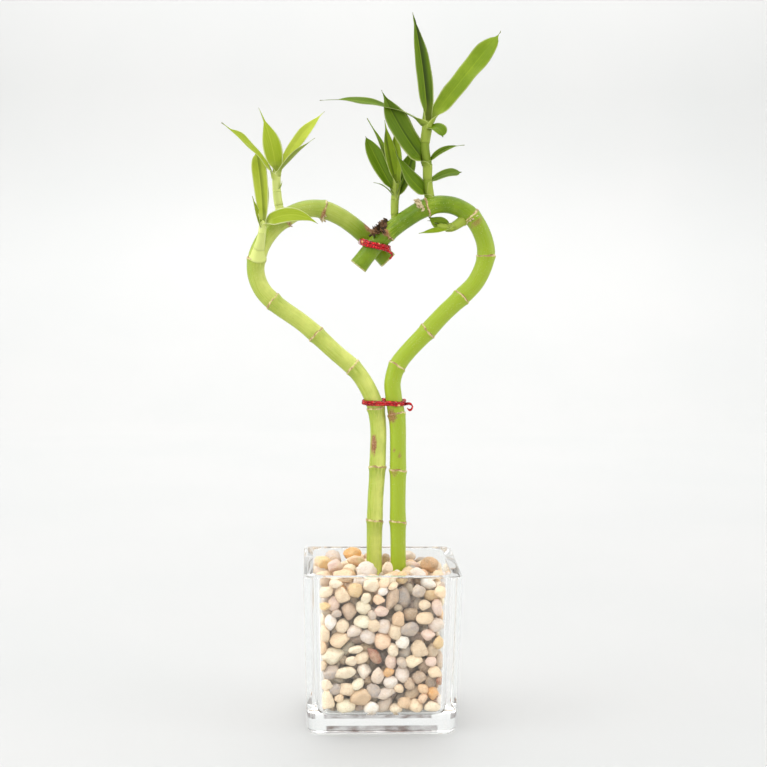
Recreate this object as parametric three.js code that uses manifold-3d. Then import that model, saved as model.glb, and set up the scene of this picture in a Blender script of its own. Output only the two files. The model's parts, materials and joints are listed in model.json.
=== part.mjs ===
// Two lucky bamboo stalks trained into a heart, standing in a square glass vase of pebbles.
// Millimetres, +Z up, +X to the right in the front view, +Y to the back.
// The origin is the centre of the vase's underside.

import * as THREE from 'three';
import { mergeVertices } from 'three/addons/utils/BufferGeometryUtils.js';
import Module from 'manifold-3d';

const wasm = await Module();
wasm.setup();

// ---------------------------------------------------------------- driving dimensions

const GAP = 0.3; // clearance between pieces that rest on each other

const VASE = {
  rimWidth: 102,
  footWidth: 96,
  height: 104,
  wall: 7,
  base: 12,
  outerCorner: 7, // radius of the upright outer edges
  innerCorner: 9, // radius of the upright edges of the cavity
  footRound: 5, // rounding under the foot
  floorRound: 4, // rounding round the cavity's floor
  lipRound: 0.9,
};

const BED = {
  coreTop: 92,
  coreInset: 7.6, // from the glass to the core that the pebbles stand out of
  around: 16, // pebbles against the glass in one row
  rows: 6,
  pebble: [10.1, 7.2, 8.2], // half sizes along the glass, into the bed and upwards
  middleInset: 7.9, // from the glass to the middles of those pebbles
  across: 6, // pebbles along one side of the top layer
  topPebble: 7.6,
  topHeight: 97.4,
  topRise: 2.5, // how much the heap rises in the middle
  seed: 7,
};

const STALK = {
  sides: 10,
  step: 11, // longest distance between two cross-sections
  waist: [4.85, 5.75], // radius in the middle of an internode, at the foot and at the top
  swell: 0.35, // how much wider it is beside a node
  lip: 0.5, // how far a node's ring stands out
  lipHalf: 0.35,
  nodeHalf: 1.3,
};

// Centre lines, as [x, y, z]. The stalks cross at the top, the right one in front.
// `nodes` are distances from the buried end, measured along the stalk.
// `scars` are the dried root tufts and sheath remains on the nodes: centre, then half sizes.
const STALKS = {
  left: {
    route: [
      [-4.5, 1, 26], [-4, 1, 80], [-3.8, 1, 135], [-2.2, 1, 172], [-2.3, 1, 197], [-5.6, 1, 212],
      [-16, 1, 230], [-31, 1, 243.5], [-50.5, 1, 261], [-70, 1, 275], [-79, 1, 284.5],
      [-83, 1, 297], [-79.8, 1, 311.5], [-70, 1.6, 325.5], [-55, 3, 335.2], [-42, 4.5, 336.9],
      [-29, 5.6, 332.4], [-14, 6, 321.8], [3.7, 6, 303.5],
    ],
    nodes: [36, 70, 105.5, 141.5, 180.5, 212.5, 245, 280.5, 311, 344, 371],
    scars: [{ at: [-38.6, 3.5, 329.5], half: [3.6, 3.4, 2.4] }],
    colour: 0x8fae3a,
  },
  right: {
    route: [
      [11.9, -1, 26], [11.9, -1, 105], [11.3, -1, 140], [11.2, -1, 165], [10.5, -1, 198],
      [7.9, -1, 214], [7, -1, 223.5], [10, -1, 234.4], [17, -1, 244], [29.8, -1, 257.6],
      [41.2, -1, 270], [52, -1, 280.3], [61, -1.4, 290], [66.4, -2, 302], [67.4, -2.6, 310.5],
      [64.5, -3.2, 321.5], [57.5, -3.8, 332.4], [47, -4.5, 339], [36, -5.3, 340.3],
      [26, -5.8, 337.4], [14.3, -6.2, 330.4], [3, -6.2, 321.8], [-6, -6.2, 312.8], [-16.2, -6, 299.8],
    ],
    nodes: [38, 71, 105, 139.5, 177, 209.5, 240, 271.5, 303.5, 332, 363, 390],
    scars: [
      { at: [24.4, -8.2, 341], half: [3.4, 2.8, 3.6] },
      { at: [0.2, -5, 327.2], half: [4.8, 3.6, 2.6] },
    ],
    colour: 0x6f9128,
  },
};

// A stem's route is [x, y, z]; its radius runs from the first to the last of `radii`.
// A leaf leaves its stem `at` mm along it. `heading` is its compass direction, 0 to the right and
// 90 to the back. Its rise above level goes from the first to the last of `rise`, in degrees.
// `turn` rolls the blade about its own length. A leaf may replace any of the shares in LEAF.
const SHOOTS = {
  shoot_left_outer: {
    stalk: 'left',
    colour: 0xa9c04a,
    route: [[-79.9, -6.6, 306.5], [-78.7, -8.6, 315], [-78.2, -8.9, 322], [-77.9, -8.8, 329]],
    radii: [2.5, 1.7],
    leaves: [
      { at: 15, heading: -155, rise: [72, 75], length: 24.5, width: 6, turn: -30 },
      { at: 19, heading: 110, rise: [86, 57], length: 52, width: 8.8, turn: -8, peak: 0.62 },
      { at: 20, heading: 80, rise: [72, 78], length: 35.5, width: 6.5, turn: 0, peak: 0.55 },
      { at: 19.5, heading: -4, rise: [42, -37], length: 38.5, width: 8.6, turn: 60 },
    ],
  },
  shoot_left_inner: {
    stalk: 'left',
    colour: 0xa6bf3f,
    route: [[-67, 2.5, 334], [-69, 2.5, 345], [-69.5, 2.5, 352], [-69.5, 2.5, 361]],
    radii: [2.7, 1.7],
    leaves: [
      { at: 25, heading: 151, rise: [84, 61], length: 43.5, width: 12, turn: -58, peak: 0.42, tip: 2.1 },
      { at: 25, heading: 26, rise: [60, 41], length: 54, width: 7.4, turn: 40, peak: 0.66 },
      { at: 24, heading: -32, rise: [50, 28], length: 38, width: 6.5, turn: 0 },
      { at: 22, heading: -148, rise: [51, 30], length: 54, width: 9, turn: -40, peak: 0.68 },
      { at: 14, heading: -40, rise: [27, 87], length: 7.5, width: 2.4, turn: 0 },
    ],
  },
  shoot_middle: {
    stalk: 'right',
    colour: 0x6f8f2c,
    route: [[7.4, -4.5, 328], [7.3, -4, 342], [8.3, -3, 350.5], [9.9, -1.5, 359]],
    radii: [2.4, 1.9],
    leaves: [
      { at: 22, heading: 150, rise: [54, 62], length: 41, width: 12, turn: -48, peak: 0.58, tip: 0.9 },
      { at: 27, heading: 141, rise: [68, 52], length: 48, width: 6, turn: 0 },
      { at: 30, heading: 137, rise: [71, 79], length: 38.5, width: 8, turn: -10 },
      { at: 30, heading: 96, rise: [74, 72], length: 33.5, width: 5.6, turn: 0 },
      { at: 20, heading: 36, rise: [56, 74], length: 33.5, width: 10.5, turn: 30, peak: 0.6 },
      { at: 15, heading: -149, rise: [61, 5], length: 20.5, width: 5, turn: -6 },
      { at: 14, heading: -25, rise: [72, 67], length: 17, width: 4.5, turn: 15 },
    ],
  },
  shoot_right: {
    stalk: 'right',
    colour: 0x5f8426,
    route: [[30.6, -5.5, 341], [28.4, -5.5, 355], [28.2, -5.5, 365.5], [26.4, -5.5, 378],
      [27.6, -5.5, 389], [27.9, -5.5, 396]],
    radii: [2.9, 2],
    leaves: [
      { at: 53, heading: 130, rise: [84, 72], length: 72.5, width: 12.5, turn: -25, peak: 0.42, foot: 0.6 },
      {
        at: 51, heading: 24, rise: [50, 48], length: 82, width: 15, turn: 52,
        peak: 0.64, foot: 0.5, tip: 0.9,
      },
      { at: 51, heading: -164, rise: [27, -7], length: 74.5, width: 9, turn: -18, peak: 0.66 },
      { at: 31, heading: -163, rise: [40, 66], length: 51, width: 19, turn: -62, peak: 0.5 },
      { at: 48, heading: -35, rise: [30, -80], length: 15.5, width: 9.5, turn: 24, peak: 0.66, tip: 0.6 },
      { at: 24, heading: -24, rise: [51, 0], length: 27.5, width: 7, turn: 25 },
      { at: 12, heading: 24, rise: [33, 2], length: 26.5, width: 7.5, turn: 38, peak: 0.74 },
      { at: 4, heading: -165, rise: [33, 68], length: 38, width: 12.5, turn: -60 },
    ],
  },
  shoot_under_arch: {
    stalk: 'right',
    colour: 0x7f9c3c,
    route: [[52.5, -5, 330.5], [44.6, -6, 325.6], [38.7, -6.4, 325.6], [35, -6.6, 327]],
    radii: [3.2, 2.2],
    leaves: [
      { at: 8, heading: -162, rise: [-14, -8], length: 25, width: 4.5, turn: -30 },
      { at: 10, heading: 170, rise: [8, 42], length: 17, width: 10, turn: -60 },
      { at: 13, heading: 160, rise: [38, -1], length: 14, width: 5, turn: -40 },
    ],
  },
};

const LEAF = {
  thick: 0.7,
  foot: 0.32, // width where the leaf leaves the stem, as a share of its full width
  peak: 0.45, // where the blade is widest, as a share of its length
  tip: 1.25, // how hollow the outline is towards the tip
  tipWidth: 0.8,
  fold: 14, // degrees that each half is raised from the midrib
  spacing: 6.5,
  fewest: 6,
  most: 13,
};

// Each tie is a foil-covered wire wound twice round both stalks. Its tail leaves the ring at the
// angle `from`, 0 to the right and -90 to the front, by steps of [x, y, z].
const TIES = {
  tie_upper: {
    level: 313,
    centre: -5.4,
    slope: -14,
    from: -40,
    tail: [[0, 0, 0], [2, -1.6, -1.6], [1.6, -2, -4.8]],
  },
  tie_lower: {
    level: 210.4,
    centre: 1.6,
    slope: 0,
    from: -18,
    tail: [[0, 0, 0], [3.4, -1, -0.6], [2.4, -1.4, -4.4]],
  },
};
const TIE = {
  wire: 0.75, // radius of one wire in the band
  turns: 3,
  tail: 0.95, // radius of the tail
  sides: 5,
  steps: 22,
};

// Stones lying loose on top of the bed: centre on the bed, half sizes and turn about Z.
const LOOSE_STONES = [
  { name: 'white', at: [-10.5, -22, 101], half: [6.6, 5.6, 7.6], turn: 20, colour: 0xf1e6d2 },
  { name: 'orange', at: [-18, 31, 103], half: [6.4, 5.2, 4.6], turn: 12, colour: 0xd99a55 },
  { name: 'pink', at: [-30.5, -6, 102], half: [5.4, 5, 4.6], turn: 50, colour: 0xe9d9cc },
  { name: 'brown', at: [32.5, -3, 102.6], half: [6.2, 5.6, 5.3], turn: 0, colour: 0xbf9a76 },
  { name: 'cream', at: [4.2, -12.6, 101.5], half: [3.7, 3.2, 4.8], turn: 0, colour: 0xeadfc0 },
  { name: 'grey', at: [4, 11.5, 102.5], half: [3, 2.8, 4.4], turn: 10, colour: 0x9a8a72 },
  { name: 'chalk', at: [23.5, -25, 100.8], half: [5.4, 4.4, 4], turn: 25, colour: 0xece8dc },
  { name: 'ochre', at: [-37, 8.5, 101.5], half: [4.6, 5.2, 4.2], turn: 5, colour: 0xe3c27a },
  { name: 'sand', at: [-25, -29, 100.6], half: [6.4, 4.8, 4], turn: -20, colour: 0xdfccae },
  { name: 'peach', at: [-15.5, 8, 102.6], half: [6.6, 4.4, 3.8], turn: 35, colour: 0xe6c7a3 },
  { name: 'pearl', at: [20.5, 24, 102.2], half: [5, 4.6, 4], turn: -10, colour: 0xd8d1c2 },
  { name: 'honey', at: [12.5, -32, 100.4], half: [4.8, 4, 3.8], turn: 70, colour: 0xe0c898 },
];

// ---------------------------------------------------------------- small helpers

const vec = (p) => new THREE.Vector3(...p);
const radians = THREE.MathUtils.degToRad;
const mix = THREE.MathUtils.lerp;

// A repeatable random number in 0..1.
function randomSource(seed) {
  let state = seed >>> 0;
  return () => {
    state = (state + 0x6d2b79f5) >>> 0;
    let t = state;
    t = Math.imul(t ^ (t >>> 15), t | 1);
    t ^= t + Math.imul(t ^ (t >>> 7), t | 61);
    return ((t ^ (t >>> 14)) >>> 0) / 4294967296;
  };
}

function signedVolume(points, faces) {
  let sum = 0;
  const cross = new THREE.Vector3();
  for (const [a, b, c] of faces) {
    sum += points[a].dot(cross.crossVectors(points[b], points[c]));
  }
  return sum / 6;
}

// A closed body from points and triangles, turned so that its faces look out.
function solidFrom(points, faces) {
  const inward = signedVolume(points, faces) < 0;
  const vertProperties = new Float32Array(points.flatMap((p) => [p.x, p.y, p.z]));
  const triVerts = new Uint32Array(faces.flatMap(([a, b, c]) => (inward ? [a, c, b] : [a, b, c])));
  return new wasm.Manifold(new wasm.Mesh({ numProp: 3, vertProperties, triVerts }));
}

// The body between a run of closed rings that all have the same number of points.
function loft(rings) {
  const count = rings[0].length;
  const points = rings.flat();
  const faces = [];
  for (let r = 0; r + 1 < rings.length; r += 1) {
    for (let i = 0; i < count; i += 1) {
      const a = r * count + i;
      const b = r * count + ((i + 1) % count);
      faces.push([a, b, b + count], [a, b + count, a + count]);
    }
  }
  for (const [start, order] of [[0, [0, 2, 1]], [(rings.length - 1) * count, [0, 1, 2]]]) {
    const hub = points.length;
    points.push(rings[start / count].reduce((sum, p) => sum.add(p), new THREE.Vector3()).divideScalar(count));
    for (let i = 0; i < count; i += 1) {
      const corner = [hub, start + i, start + ((i + 1) % count)];
      faces.push(order.map((k) => corner[k]));
    }
  }
  return solidFrom(points, faces);
}

// A ring of points round a place on a route. Every route here lies close to the XZ plane.
function ringAround(centre, tangent, radius, sides) {
  const side = new THREE.Vector3(0, 1, 0).addScaledVector(tangent, -tangent.y).normalize();
  const up = new THREE.Vector3().crossVectors(tangent, side);
  return Array.from({ length: sides }, (_, i) => {
    const angle = (2 * Math.PI * i) / sides;
    return centre.clone()
      .addScaledVector(side, radius * Math.cos(angle))
      .addScaledVector(up, radius * Math.sin(angle));
  });
}

function curveThrough(route) {
  const curve = new THREE.CatmullRomCurve3(route.map(vec), false, 'centripetal');
  curve.arcLengthDivisions = 800;
  return curve;
}

function tube(curve, distances, radiusAt, sides) {
  const length = curve.getLength();
  return loft(distances.map((s) => {
    const u = THREE.MathUtils.clamp(s / length, 0, 1);
    return ringAround(curve.getPointAt(u), curve.getTangentAt(u), radiusAt(s), sides);
  }));
}

function evenSteps(from, to, step) {
  const count = Math.max(1, Math.ceil((to - from) / step));
  return Array.from({ length: count + 1 }, (_, i) => mix(from, to, i / count));
}

// An ellipsoid stone, pushed gently in and out so that no two are alike.
function stone(centre, half, spin, detail) {
  const geometry = new THREE.IcosahedronGeometry(1, detail);
  geometry.deleteAttribute('normal');
  geometry.deleteAttribute('uv');
  const merged = mergeVertices(geometry);
  const place = new THREE.Matrix4().compose(
    vec(centre),
    new THREE.Quaternion().setFromEuler(new THREE.Euler(...spin, 'ZYX')),
    vec(half),
  );
  const position = merged.getAttribute('position');
  const points = Array.from({ length: position.count }, (_, i) => {
    const p = new THREE.Vector3().fromBufferAttribute(position, i);
    const lump = 1 + 0.07 * Math.sin(2.3 * p.x + centre[0]) * Math.cos(2.1 * p.y + centre[2]);
    return p.multiplyScalar(lump).applyMatrix4(place);
  });
  const index = merged.getIndex().array;
  const faces = Array.from({ length: index.length / 3 }, (_, i) => [...index.slice(3 * i, 3 * i + 3)]);
  return solidFrom(points, faces);
}

const union = (solids) => solids.reduce((sum, solid) => sum.add(solid));

function meshOf(name, solid, material) {
  const { vertProperties, triVerts } = solid.getMesh();
  const geometry = new THREE.BufferGeometry();
  geometry.setAttribute('position', new THREE.BufferAttribute(new Float32Array(vertProperties), 3));
  geometry.setIndex(new THREE.BufferAttribute(new Uint32Array(triVerts), 1));
  const mesh = new THREE.Mesh(geometry, material);
  mesh.name = name;
  return mesh;
}

// ---------------------------------------------------------------- materials

const glass = () => new THREE.MeshStandardMaterial({
  color: 0xeef4f2, roughness: 0.03, metalness: 0, transparent: true, opacity: 0.35,
});
const pebbleMix = () => new THREE.MeshStandardMaterial({ color: 0xd9c8ac, roughness: 0.75, metalness: 0 });
const pebbleOf = (colour) => new THREE.MeshStandardMaterial({ color: colour, roughness: 0.7, metalness: 0 });
const stalkSkin = (colour) => new THREE.MeshStandardMaterial({ color: colour, roughness: 0.42, metalness: 0 });
const leafSkin = (colour) => new THREE.MeshStandardMaterial({ color: colour, roughness: 0.5, metalness: 0 });
const redFoil = () => new THREE.MeshStandardMaterial({ color: 0xb5121b, roughness: 0.25, metalness: 0.8 });

// ---------------------------------------------------------------- vase

// A square with rounded corners, level at height z.
function roundedSquare(half, corner, z, perCorner = 5) {
  const ring = [];
  const hub = new THREE.Vector2();
  for (let quarter = 0; quarter < 4; quarter += 1) {
    const turn = (quarter * Math.PI) / 2;
    const middle = new THREE.Vector2(half - corner, half - corner).rotateAround(hub, turn);
    for (let i = 0; i < perCorner; i += 1) {
      const angle = turn + (i / (perCorner - 1)) * (Math.PI / 2);
      ring.push(new THREE.Vector3(
        middle.x + corner * Math.cos(angle),
        middle.y + corner * Math.sin(angle),
        z,
      ));
    }
  }
  return ring;
}

// Half the width of the outside at height z. The sides flare a little towards the rim.
const outerHalf = (z) => mix(VASE.footWidth, VASE.rimWidth, z / VASE.height) / 2;
const innerHalf = (z) => outerHalf(z) - VASE.wall;

function vaseSolid() {
  const { height, base, outerCorner, innerCorner, footRound, floorRound, lipRound } = VASE;
  const outer = (z, inset) => roundedSquare(outerHalf(z) - inset, outerCorner, z);
  const inner = (z, inset) => roundedSquare(innerHalf(z) - inset, innerCorner, z);
  const rings = [];
  for (const share of [0, 1 / 3, 2 / 3, 1]) {
    const angle = (share * Math.PI) / 2;
    const inset = footRound * (1 - Math.sin(angle));
    rings.push(outer(footRound * (1 - Math.cos(angle)), inset));
  }
  rings.push(outer(height - lipRound, 0), outer(height, lipRound));
  rings.push(inner(height, -lipRound), inner(height - lipRound, 0));
  for (const share of [0, 0.5, 1]) {
    const angle = (share * Math.PI) / 2;
    const z = base + floorRound * (1 - Math.sin(angle));
    rings.push(inner(z, floorRound * (1 - Math.cos(angle))));
  }
  return loft(rings);
}

// ---------------------------------------------------------------- pebbles

// The cavity of the vase, kept clear of the glass by the gap, from the floor up past the rim.
function cavitySolid() {
  const inset = (z, extra) => roundedSquare(innerHalf(z) - GAP - extra, VASE.innerCorner - GAP, z);
  const floor = VASE.base + GAP;
  const wellAbove = VASE.height + BED.topPebble * 2;
  return loft([inset(floor, VASE.floorRound), inset(floor + VASE.floorRound, 0), inset(wellAbove, 0)]);
}

// The plain core behind the pebbles.
function bedCore() {
  const ring = (z) => roundedSquare(innerHalf(z) - BED.coreInset, VASE.innerCorner / 2, z, 2);
  return loft([ring(VASE.base + GAP), ring(BED.coreTop)]);
}

// The line round the cavity, `inset` from the glass, at one level.
function wallLine(z, inset) {
  const half = innerHalf(z) - inset;
  const line = new THREE.CurvePath();
  for (let side = 0; side < 4; side += 1) {
    const turned = (x, y) => new THREE.Vector2(x, y).rotateAround(new THREE.Vector2(), (side * Math.PI) / 2);
    line.add(new THREE.LineCurve(turned(half, -half), turned(half, half)));
  }
  return line;
}

// Staggered rows of pebbles against the glass, each lying flat to it.
function bedSides(random) {
  const jitter = (amount) => (random() - 0.5) * 2 * amount;
  const rise = (BED.coreTop - VASE.base) / BED.rows;
  const pebbles = [];
  for (let row = 0; row < BED.rows; row += 1) {
    for (let column = 0; column < BED.around; column += 1) {
      const z = VASE.base + (row + 0.5) * rise + jitter(1);
      const line = wallLine(z, BED.middleInset);
      const share = ((column + (row % 2) * 0.5 + 0.25 + jitter(0.08)) / BED.around) % 1;
      const { x, y } = line.getPointAt(share);
      const along = line.getTangentAt(share);
      const half = BED.pebble.map((size) => size * (1 + jitter(0.06)));
      const spin = [jitter(0.4), jitter(0.45), Math.atan2(along.y, along.x)];
      pebbles.push(stone([x, y, z], half, spin, 0));
    }
  }
  return pebbles;
}

// The top layer, on a jittered grid.
function bedTop(random) {
  const jitter = (amount) => (random() - 0.5) * 2 * amount;
  const reach = innerHalf(BED.topHeight) - BED.topPebble * 0.9;
  const places = evenSteps(-reach, reach, (2 * reach) / (BED.across - 1));
  return places.flatMap((x) => places.map((y) => {
    const heap = BED.topRise * (1 - Math.max(Math.abs(x), Math.abs(y)) / reach);
    const height = BED.topHeight - BED.topPebble * 0.45 + heap + jitter(1);
    const half = [1.1, 0.98, 0.86].map((share) => share * BED.topPebble * (1 + jitter(0.08)));
    const spin = [jitter(0.5), jitter(0.5), jitter(Math.PI)];
    return stone([x + jitter(1.4), y + jitter(1.4), height], half, spin, 0);
  }));
}

function looseStone({ at, half, turn }, grow = 0) {
  return stone(at, half.map((h) => h + grow), [0, 0, radians(turn)], 1);
}

// The hole that a stalk stands in.
function stalkHole([foot, ...rest]) {
  const curve = curveThrough([[foot[0], foot[1], foot[2] - GAP], ...rest.slice(0, 3)]);
  const radius = STALK.waist[0] + STALK.swell + STALK.lip + GAP * 2;
  return tube(curve, evenSteps(0, VASE.height, STALK.step * 3), () => radius, STALK.sides);
}

function pebbleBedSolid() {
  const random = randomSource(BED.seed);
  const heap = union([bedCore(), ...bedSides(random), ...bedTop(random)]).intersect(cavitySolid());
  const holes = Object.values(STALKS).map(({ route }) => stalkHole(route));
  const seats = LOOSE_STONES.map((item) => looseStone(item, GAP + 0.1));
  return largestBody([...holes, ...seats].reduce((rest, cut) => rest.subtract(cut), heap));
}

// Crumbs that the cuts leave loose are dropped.
function largestBody(solid) {
  return solid.decompose().reduce((a, b) => (a.volume() > b.volume() ? a : b));
}

// ---------------------------------------------------------------- stalks

// Cross-sections along a stalk: close together at each node's ring, wider between them.
function stalkStations(length, nodes) {
  const stations = [];
  const ends = [0, ...nodes, length];
  for (let k = 0; k + 1 < ends.length; k += 1) {
    const from = k === 0 ? 0 : ends[k] + STALK.nodeHalf;
    const to = k + 2 === ends.length ? length : ends[k + 1] - STALK.nodeHalf;
    stations.push(...evenSteps(from, to, STALK.step));
    if (k + 2 < ends.length) {
      stations.push(ends[k + 1] - STALK.lipHalf, ends[k + 1] + STALK.lipHalf);
    }
  }
  return stations;
}

// The internode is slimmest in its middle and swells to the ring at each node.
function stalkRadius(s, nodes, length) {
  const girth = mix(...STALK.waist, Math.min(1, (1.5 * s) / length));
  const below = Math.max(0, ...nodes.filter((n) => n <= s));
  const above = Math.min(length, ...nodes.filter((n) => n > s));
  const toNode = Math.min(...nodes.map((n) => Math.abs(s - n)));
  const share = (s - below) / (above - below);
  const lip = toNode < STALK.nodeHalf * 0.9 ? STALK.lip : 0;
  return girth + STALK.swell * Math.abs(2 * share - 1) ** 3 + lip;
}

// A stalk with the scars on its nodes, grown by `clear` all round.
function stalkSolid({ route, nodes, scars }, clear = 0) {
  const curve = curveThrough(route);
  const length = curve.getLength();
  const radiusAt = (s) => stalkRadius(s, nodes, length) + clear;
  const body = tube(curve, stalkStations(length, nodes), radiusAt, STALK.sides);
  const tufts = scars.map(({ at, half }) => stone(at, half.map((h) => h + clear * 1.5), [0, 0, 0], 0));
  return union([body, ...tufts]);
}

// ---------------------------------------------------------------- leafy shoots

// Share of the full width at u along the blade: a narrow foot, a long drawn-out tip.
function widthShare(u, { foot, peak, tip }) {
  if (u < peak) {
    return mix(foot, 1, 1 - (1 - u / peak) ** 2);
  }
  const past = (u - peak) / (1 - peak);
  return (1 - past * past) ** tip;
}

// Points and directions down a leaf's midrib, whose rise changes evenly along its length.
function midrib(start, leaf, count) {
  const heading = radians(leaf.heading);
  const fine = 8;
  const place = start.clone();
  const rows = [];
  for (let i = 0; i <= count * fine; i += 1) {
    const u = i / (count * fine);
    const rise = radians(mix(leaf.rise[0], leaf.rise[1], u));
    const along = new THREE.Vector3(
      Math.cos(rise) * Math.cos(heading),
      Math.cos(rise) * Math.sin(heading),
      Math.sin(rise),
    );
    if (i % fine === 0) {
      rows.push({ u, place: place.clone(), along });
    }
    place.addScaledVector(along, leaf.length / (count * fine));
  }
  return rows;
}

// A blade folded along its midrib, its upper and lower faces split into triangles alike.
function leafSolid(start, leaf) {
  const count = THREE.MathUtils.clamp(Math.round(leaf.length / LEAF.spacing), LEAF.fewest, LEAF.most);
  const level = new THREE.Vector3(-Math.sin(radians(leaf.heading)), Math.cos(radians(leaf.heading)), 0);
  const form = { ...LEAF, ...leaf };
  const fold = radians(form.fold);
  const upper = [];
  const lower = [];
  for (const { u, place, along } of midrib(start, leaf, count)) {
    const across = level.clone().applyAxisAngle(along, radians(leaf.turn));
    const face = new THREE.Vector3().crossVectors(along, across);
    const half = Math.max(leaf.width * widthShare(u, form), LEAF.tipWidth) / 2;
    for (const edge of [-1, 0, 1]) {
      const p = place.clone()
        .addScaledVector(across, edge * half * Math.cos(fold))
        .addScaledVector(face, Math.abs(edge) * half * Math.sin(fold));
      upper.push(p.clone().addScaledVector(face, LEAF.thick / 2));
      lower.push(p.clone().addScaledVector(face, -LEAF.thick / 2));
    }
  }
  return solidFrom([...upper, ...lower], bladeFaces(count, upper.length));
}

function bladeFaces(count, below) {
  const faces = [];
  const quad = (a, b, c, d) => faces.push([a, b, c], [a, c, d]);
  for (let r = 0; r < count; r += 1) {
    const row = 3 * r;
    for (const [a, b] of [[row, row + 1], [row + 1, row + 2]]) {
      faces.push([a, b, b + 3], [a, b + 3, a + 3]);
      faces.push([a + below, b + 3 + below, b + below], [a + below, a + 3 + below, b + 3 + below]);
    }
    quad(row, row + 3, row + 3 + below, row + below);
    quad(row + 2 + below, row + 5 + below, row + 5, row + 2);
  }
  const last = 3 * count;
  for (const [a, b] of [[0, 1], [1, 2]]) {
    quad(a, a + below, b + below, b);
    quad(last + b, last + b + below, last + a + below, last + a);
  }
  return faces;
}

function shootSolid({ route, radii, leaves }, clearance) {
  const curve = curveThrough(route);
  const length = curve.getLength();
  const radiusAt = (s) => mix(radii[0], radii[1], s / length);
  const stem = tube(curve, evenSteps(0, length, 7), radiusAt, 8);
  const blades = leaves.map((leaf) => {
    const start = curve.getPointAt(THREE.MathUtils.clamp(leaf.at / length, 0, 1));
    return leafSolid(start, leaf);
  });
  return largestBody(union([stem, ...blades]).subtract(clearance));
}

// ---------------------------------------------------------------- ties

// Where a stalk passes one level: its middle there and the half sizes of the level cut through it.
function sectionAt({ route, nodes }, level, centre) {
  const curve = curveThrough(route);
  const length = curve.getLength();
  const near = evenSteps(0, 1, 0.002).filter((u) => {
    const p = curve.getPointAt(u);
    return Math.abs(p.z - level) < 0.8 && Math.abs(p.x - centre) < 16;
  });
  const u = near[Math.floor(near.length / 2)];
  const radius = stalkRadius(u * length, nodes, length) + GAP + TIE.wire;
  return { at: curve.getPointAt(u), wide: radius / Math.abs(curve.getTangentAt(u).z), deep: radius };
}

// The route of a tight loop round both stalks at one level: the farthest reach of the two level
// cuts in every direction, sloping across.
function loopRoute({ level, centre, slope }) {
  const sections = Object.values(STALKS).map((stalk) => sectionAt(stalk, level, centre));
  const reach = (angle) => Math.max(...sections.map(({ at, wide, deep }) => (
    (at.x - centre) * Math.cos(angle) + at.y * Math.sin(angle)
    + Math.hypot(wide * Math.cos(angle), deep * Math.sin(angle)))));
  return (angle) => {
    const small = 0.01;
    const far = reach(angle);
    const slide = (reach(angle + small) - reach(angle - small)) / (2 * small);
    const x = far * Math.cos(angle) - slide * Math.sin(angle);
    const y = far * Math.sin(angle) + slide * Math.cos(angle);
    return new THREE.Vector3(centre + x, y, level + x * Math.tan(radians(slope)));
  };
}

// The band of wound turns: flat against the stalks, one crest per turn on the outside.
function bandProfile() {
  const { wire, turns } = TIE;
  const outside = Array.from({ length: 2 * turns + 1 }, (_, i) => (
    [i % 2 === 0 ? wire * 0.3 : wire, (i - turns) * wire]));
  return [[-wire, turns * wire], [-wire, -turns * wire], ...outside];
}

function bandSolid(pointAt) {
  const profile = bandProfile();
  const vertices = [];
  const faces = [];
  for (let i = 0; i < TIE.steps; i += 1) {
    const here = pointAt((2 * Math.PI * i) / TIE.steps);
    const along = pointAt((2 * Math.PI * (i + 0.1)) / TIE.steps).sub(here).normalize();
    const up = new THREE.Vector3(0, 0, 1).addScaledVector(along, -along.z).normalize();
    const out = new THREE.Vector3().crossVectors(along, up);
    profile.forEach(([outwards, upwards], k) => {
      vertices.push(here.clone().addScaledVector(out, outwards).addScaledVector(up, upwards));
      const a = i * profile.length + k;
      const b = i * profile.length + ((k + 1) % profile.length);
      const [c, d] = [b, a].map((v) => (v + profile.length) % (TIE.steps * profile.length));
      faces.push([a, b, c], [a, c, d]);
    });
  }
  return solidFrom(vertices, faces);
}

function tieSolid(tie, clearances) {
  const pointAt = loopRoute(tie);
  const start = pointAt(radians(tie.from));
  const end = curveThrough(tie.tail.map((step) => start.clone().add(vec(step)).toArray()));
  const loose = tube(end, evenSteps(0, end.getLength(), 2), () => TIE.tail, TIE.sides);
  return largestBody(clearances.reduce((rest, cut) => rest.subtract(cut), bandSolid(pointAt).add(loose)));
}

// ---------------------------------------------------------------- the whole

function buildPlant() {
  const group = new THREE.Group();
  const clearances = Object.fromEntries(
    Object.entries(STALKS).map(([name, stalk]) => [name, stalkSolid(stalk, GAP)]),
  );
  group.add(meshOf('vase', vaseSolid(), glass()));
  group.add(meshOf('pebble_bed', pebbleBedSolid(), pebbleMix()));
  for (const item of LOOSE_STONES) {
    group.add(meshOf(`pebble_${item.name}`, looseStone(item), pebbleOf(item.colour)));
  }
  for (const [name, stalk] of Object.entries(STALKS)) {
    group.add(meshOf(`stalk_${name}`, stalkSolid(stalk), stalkSkin(stalk.colour)));
  }
  for (const [name, shoot] of Object.entries(SHOOTS)) {
    group.add(meshOf(name, shootSolid(shoot, clearances[shoot.stalk]), leafSkin(shoot.colour)));
  }
  for (const [name, tie] of Object.entries(TIES)) {
    group.add(meshOf(name, tieSolid(tie, Object.values(clearances)), redFoil()));
  }
  return group;
}

export default buildPlant();
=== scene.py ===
"""Lucky bamboo: two bent stalks with leafy shoots, tied with red foil, in a square glass vase of pebbles.

Sizes are in millimetres in the tables below and in metres in every mesh. X is right, Y back, Z up.
"""
import json
import logging
import math
from dataclasses import dataclass, field
from enum import Enum
from typing import Any, Iterable, Optional, Sequence

import bmesh
import bpy
import numpy as np
from bpy.types import Material, Node, NodeSocket, NodeTree, Object, bpy_prop_collection
from mathutils import Matrix, Vector, noise

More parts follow.
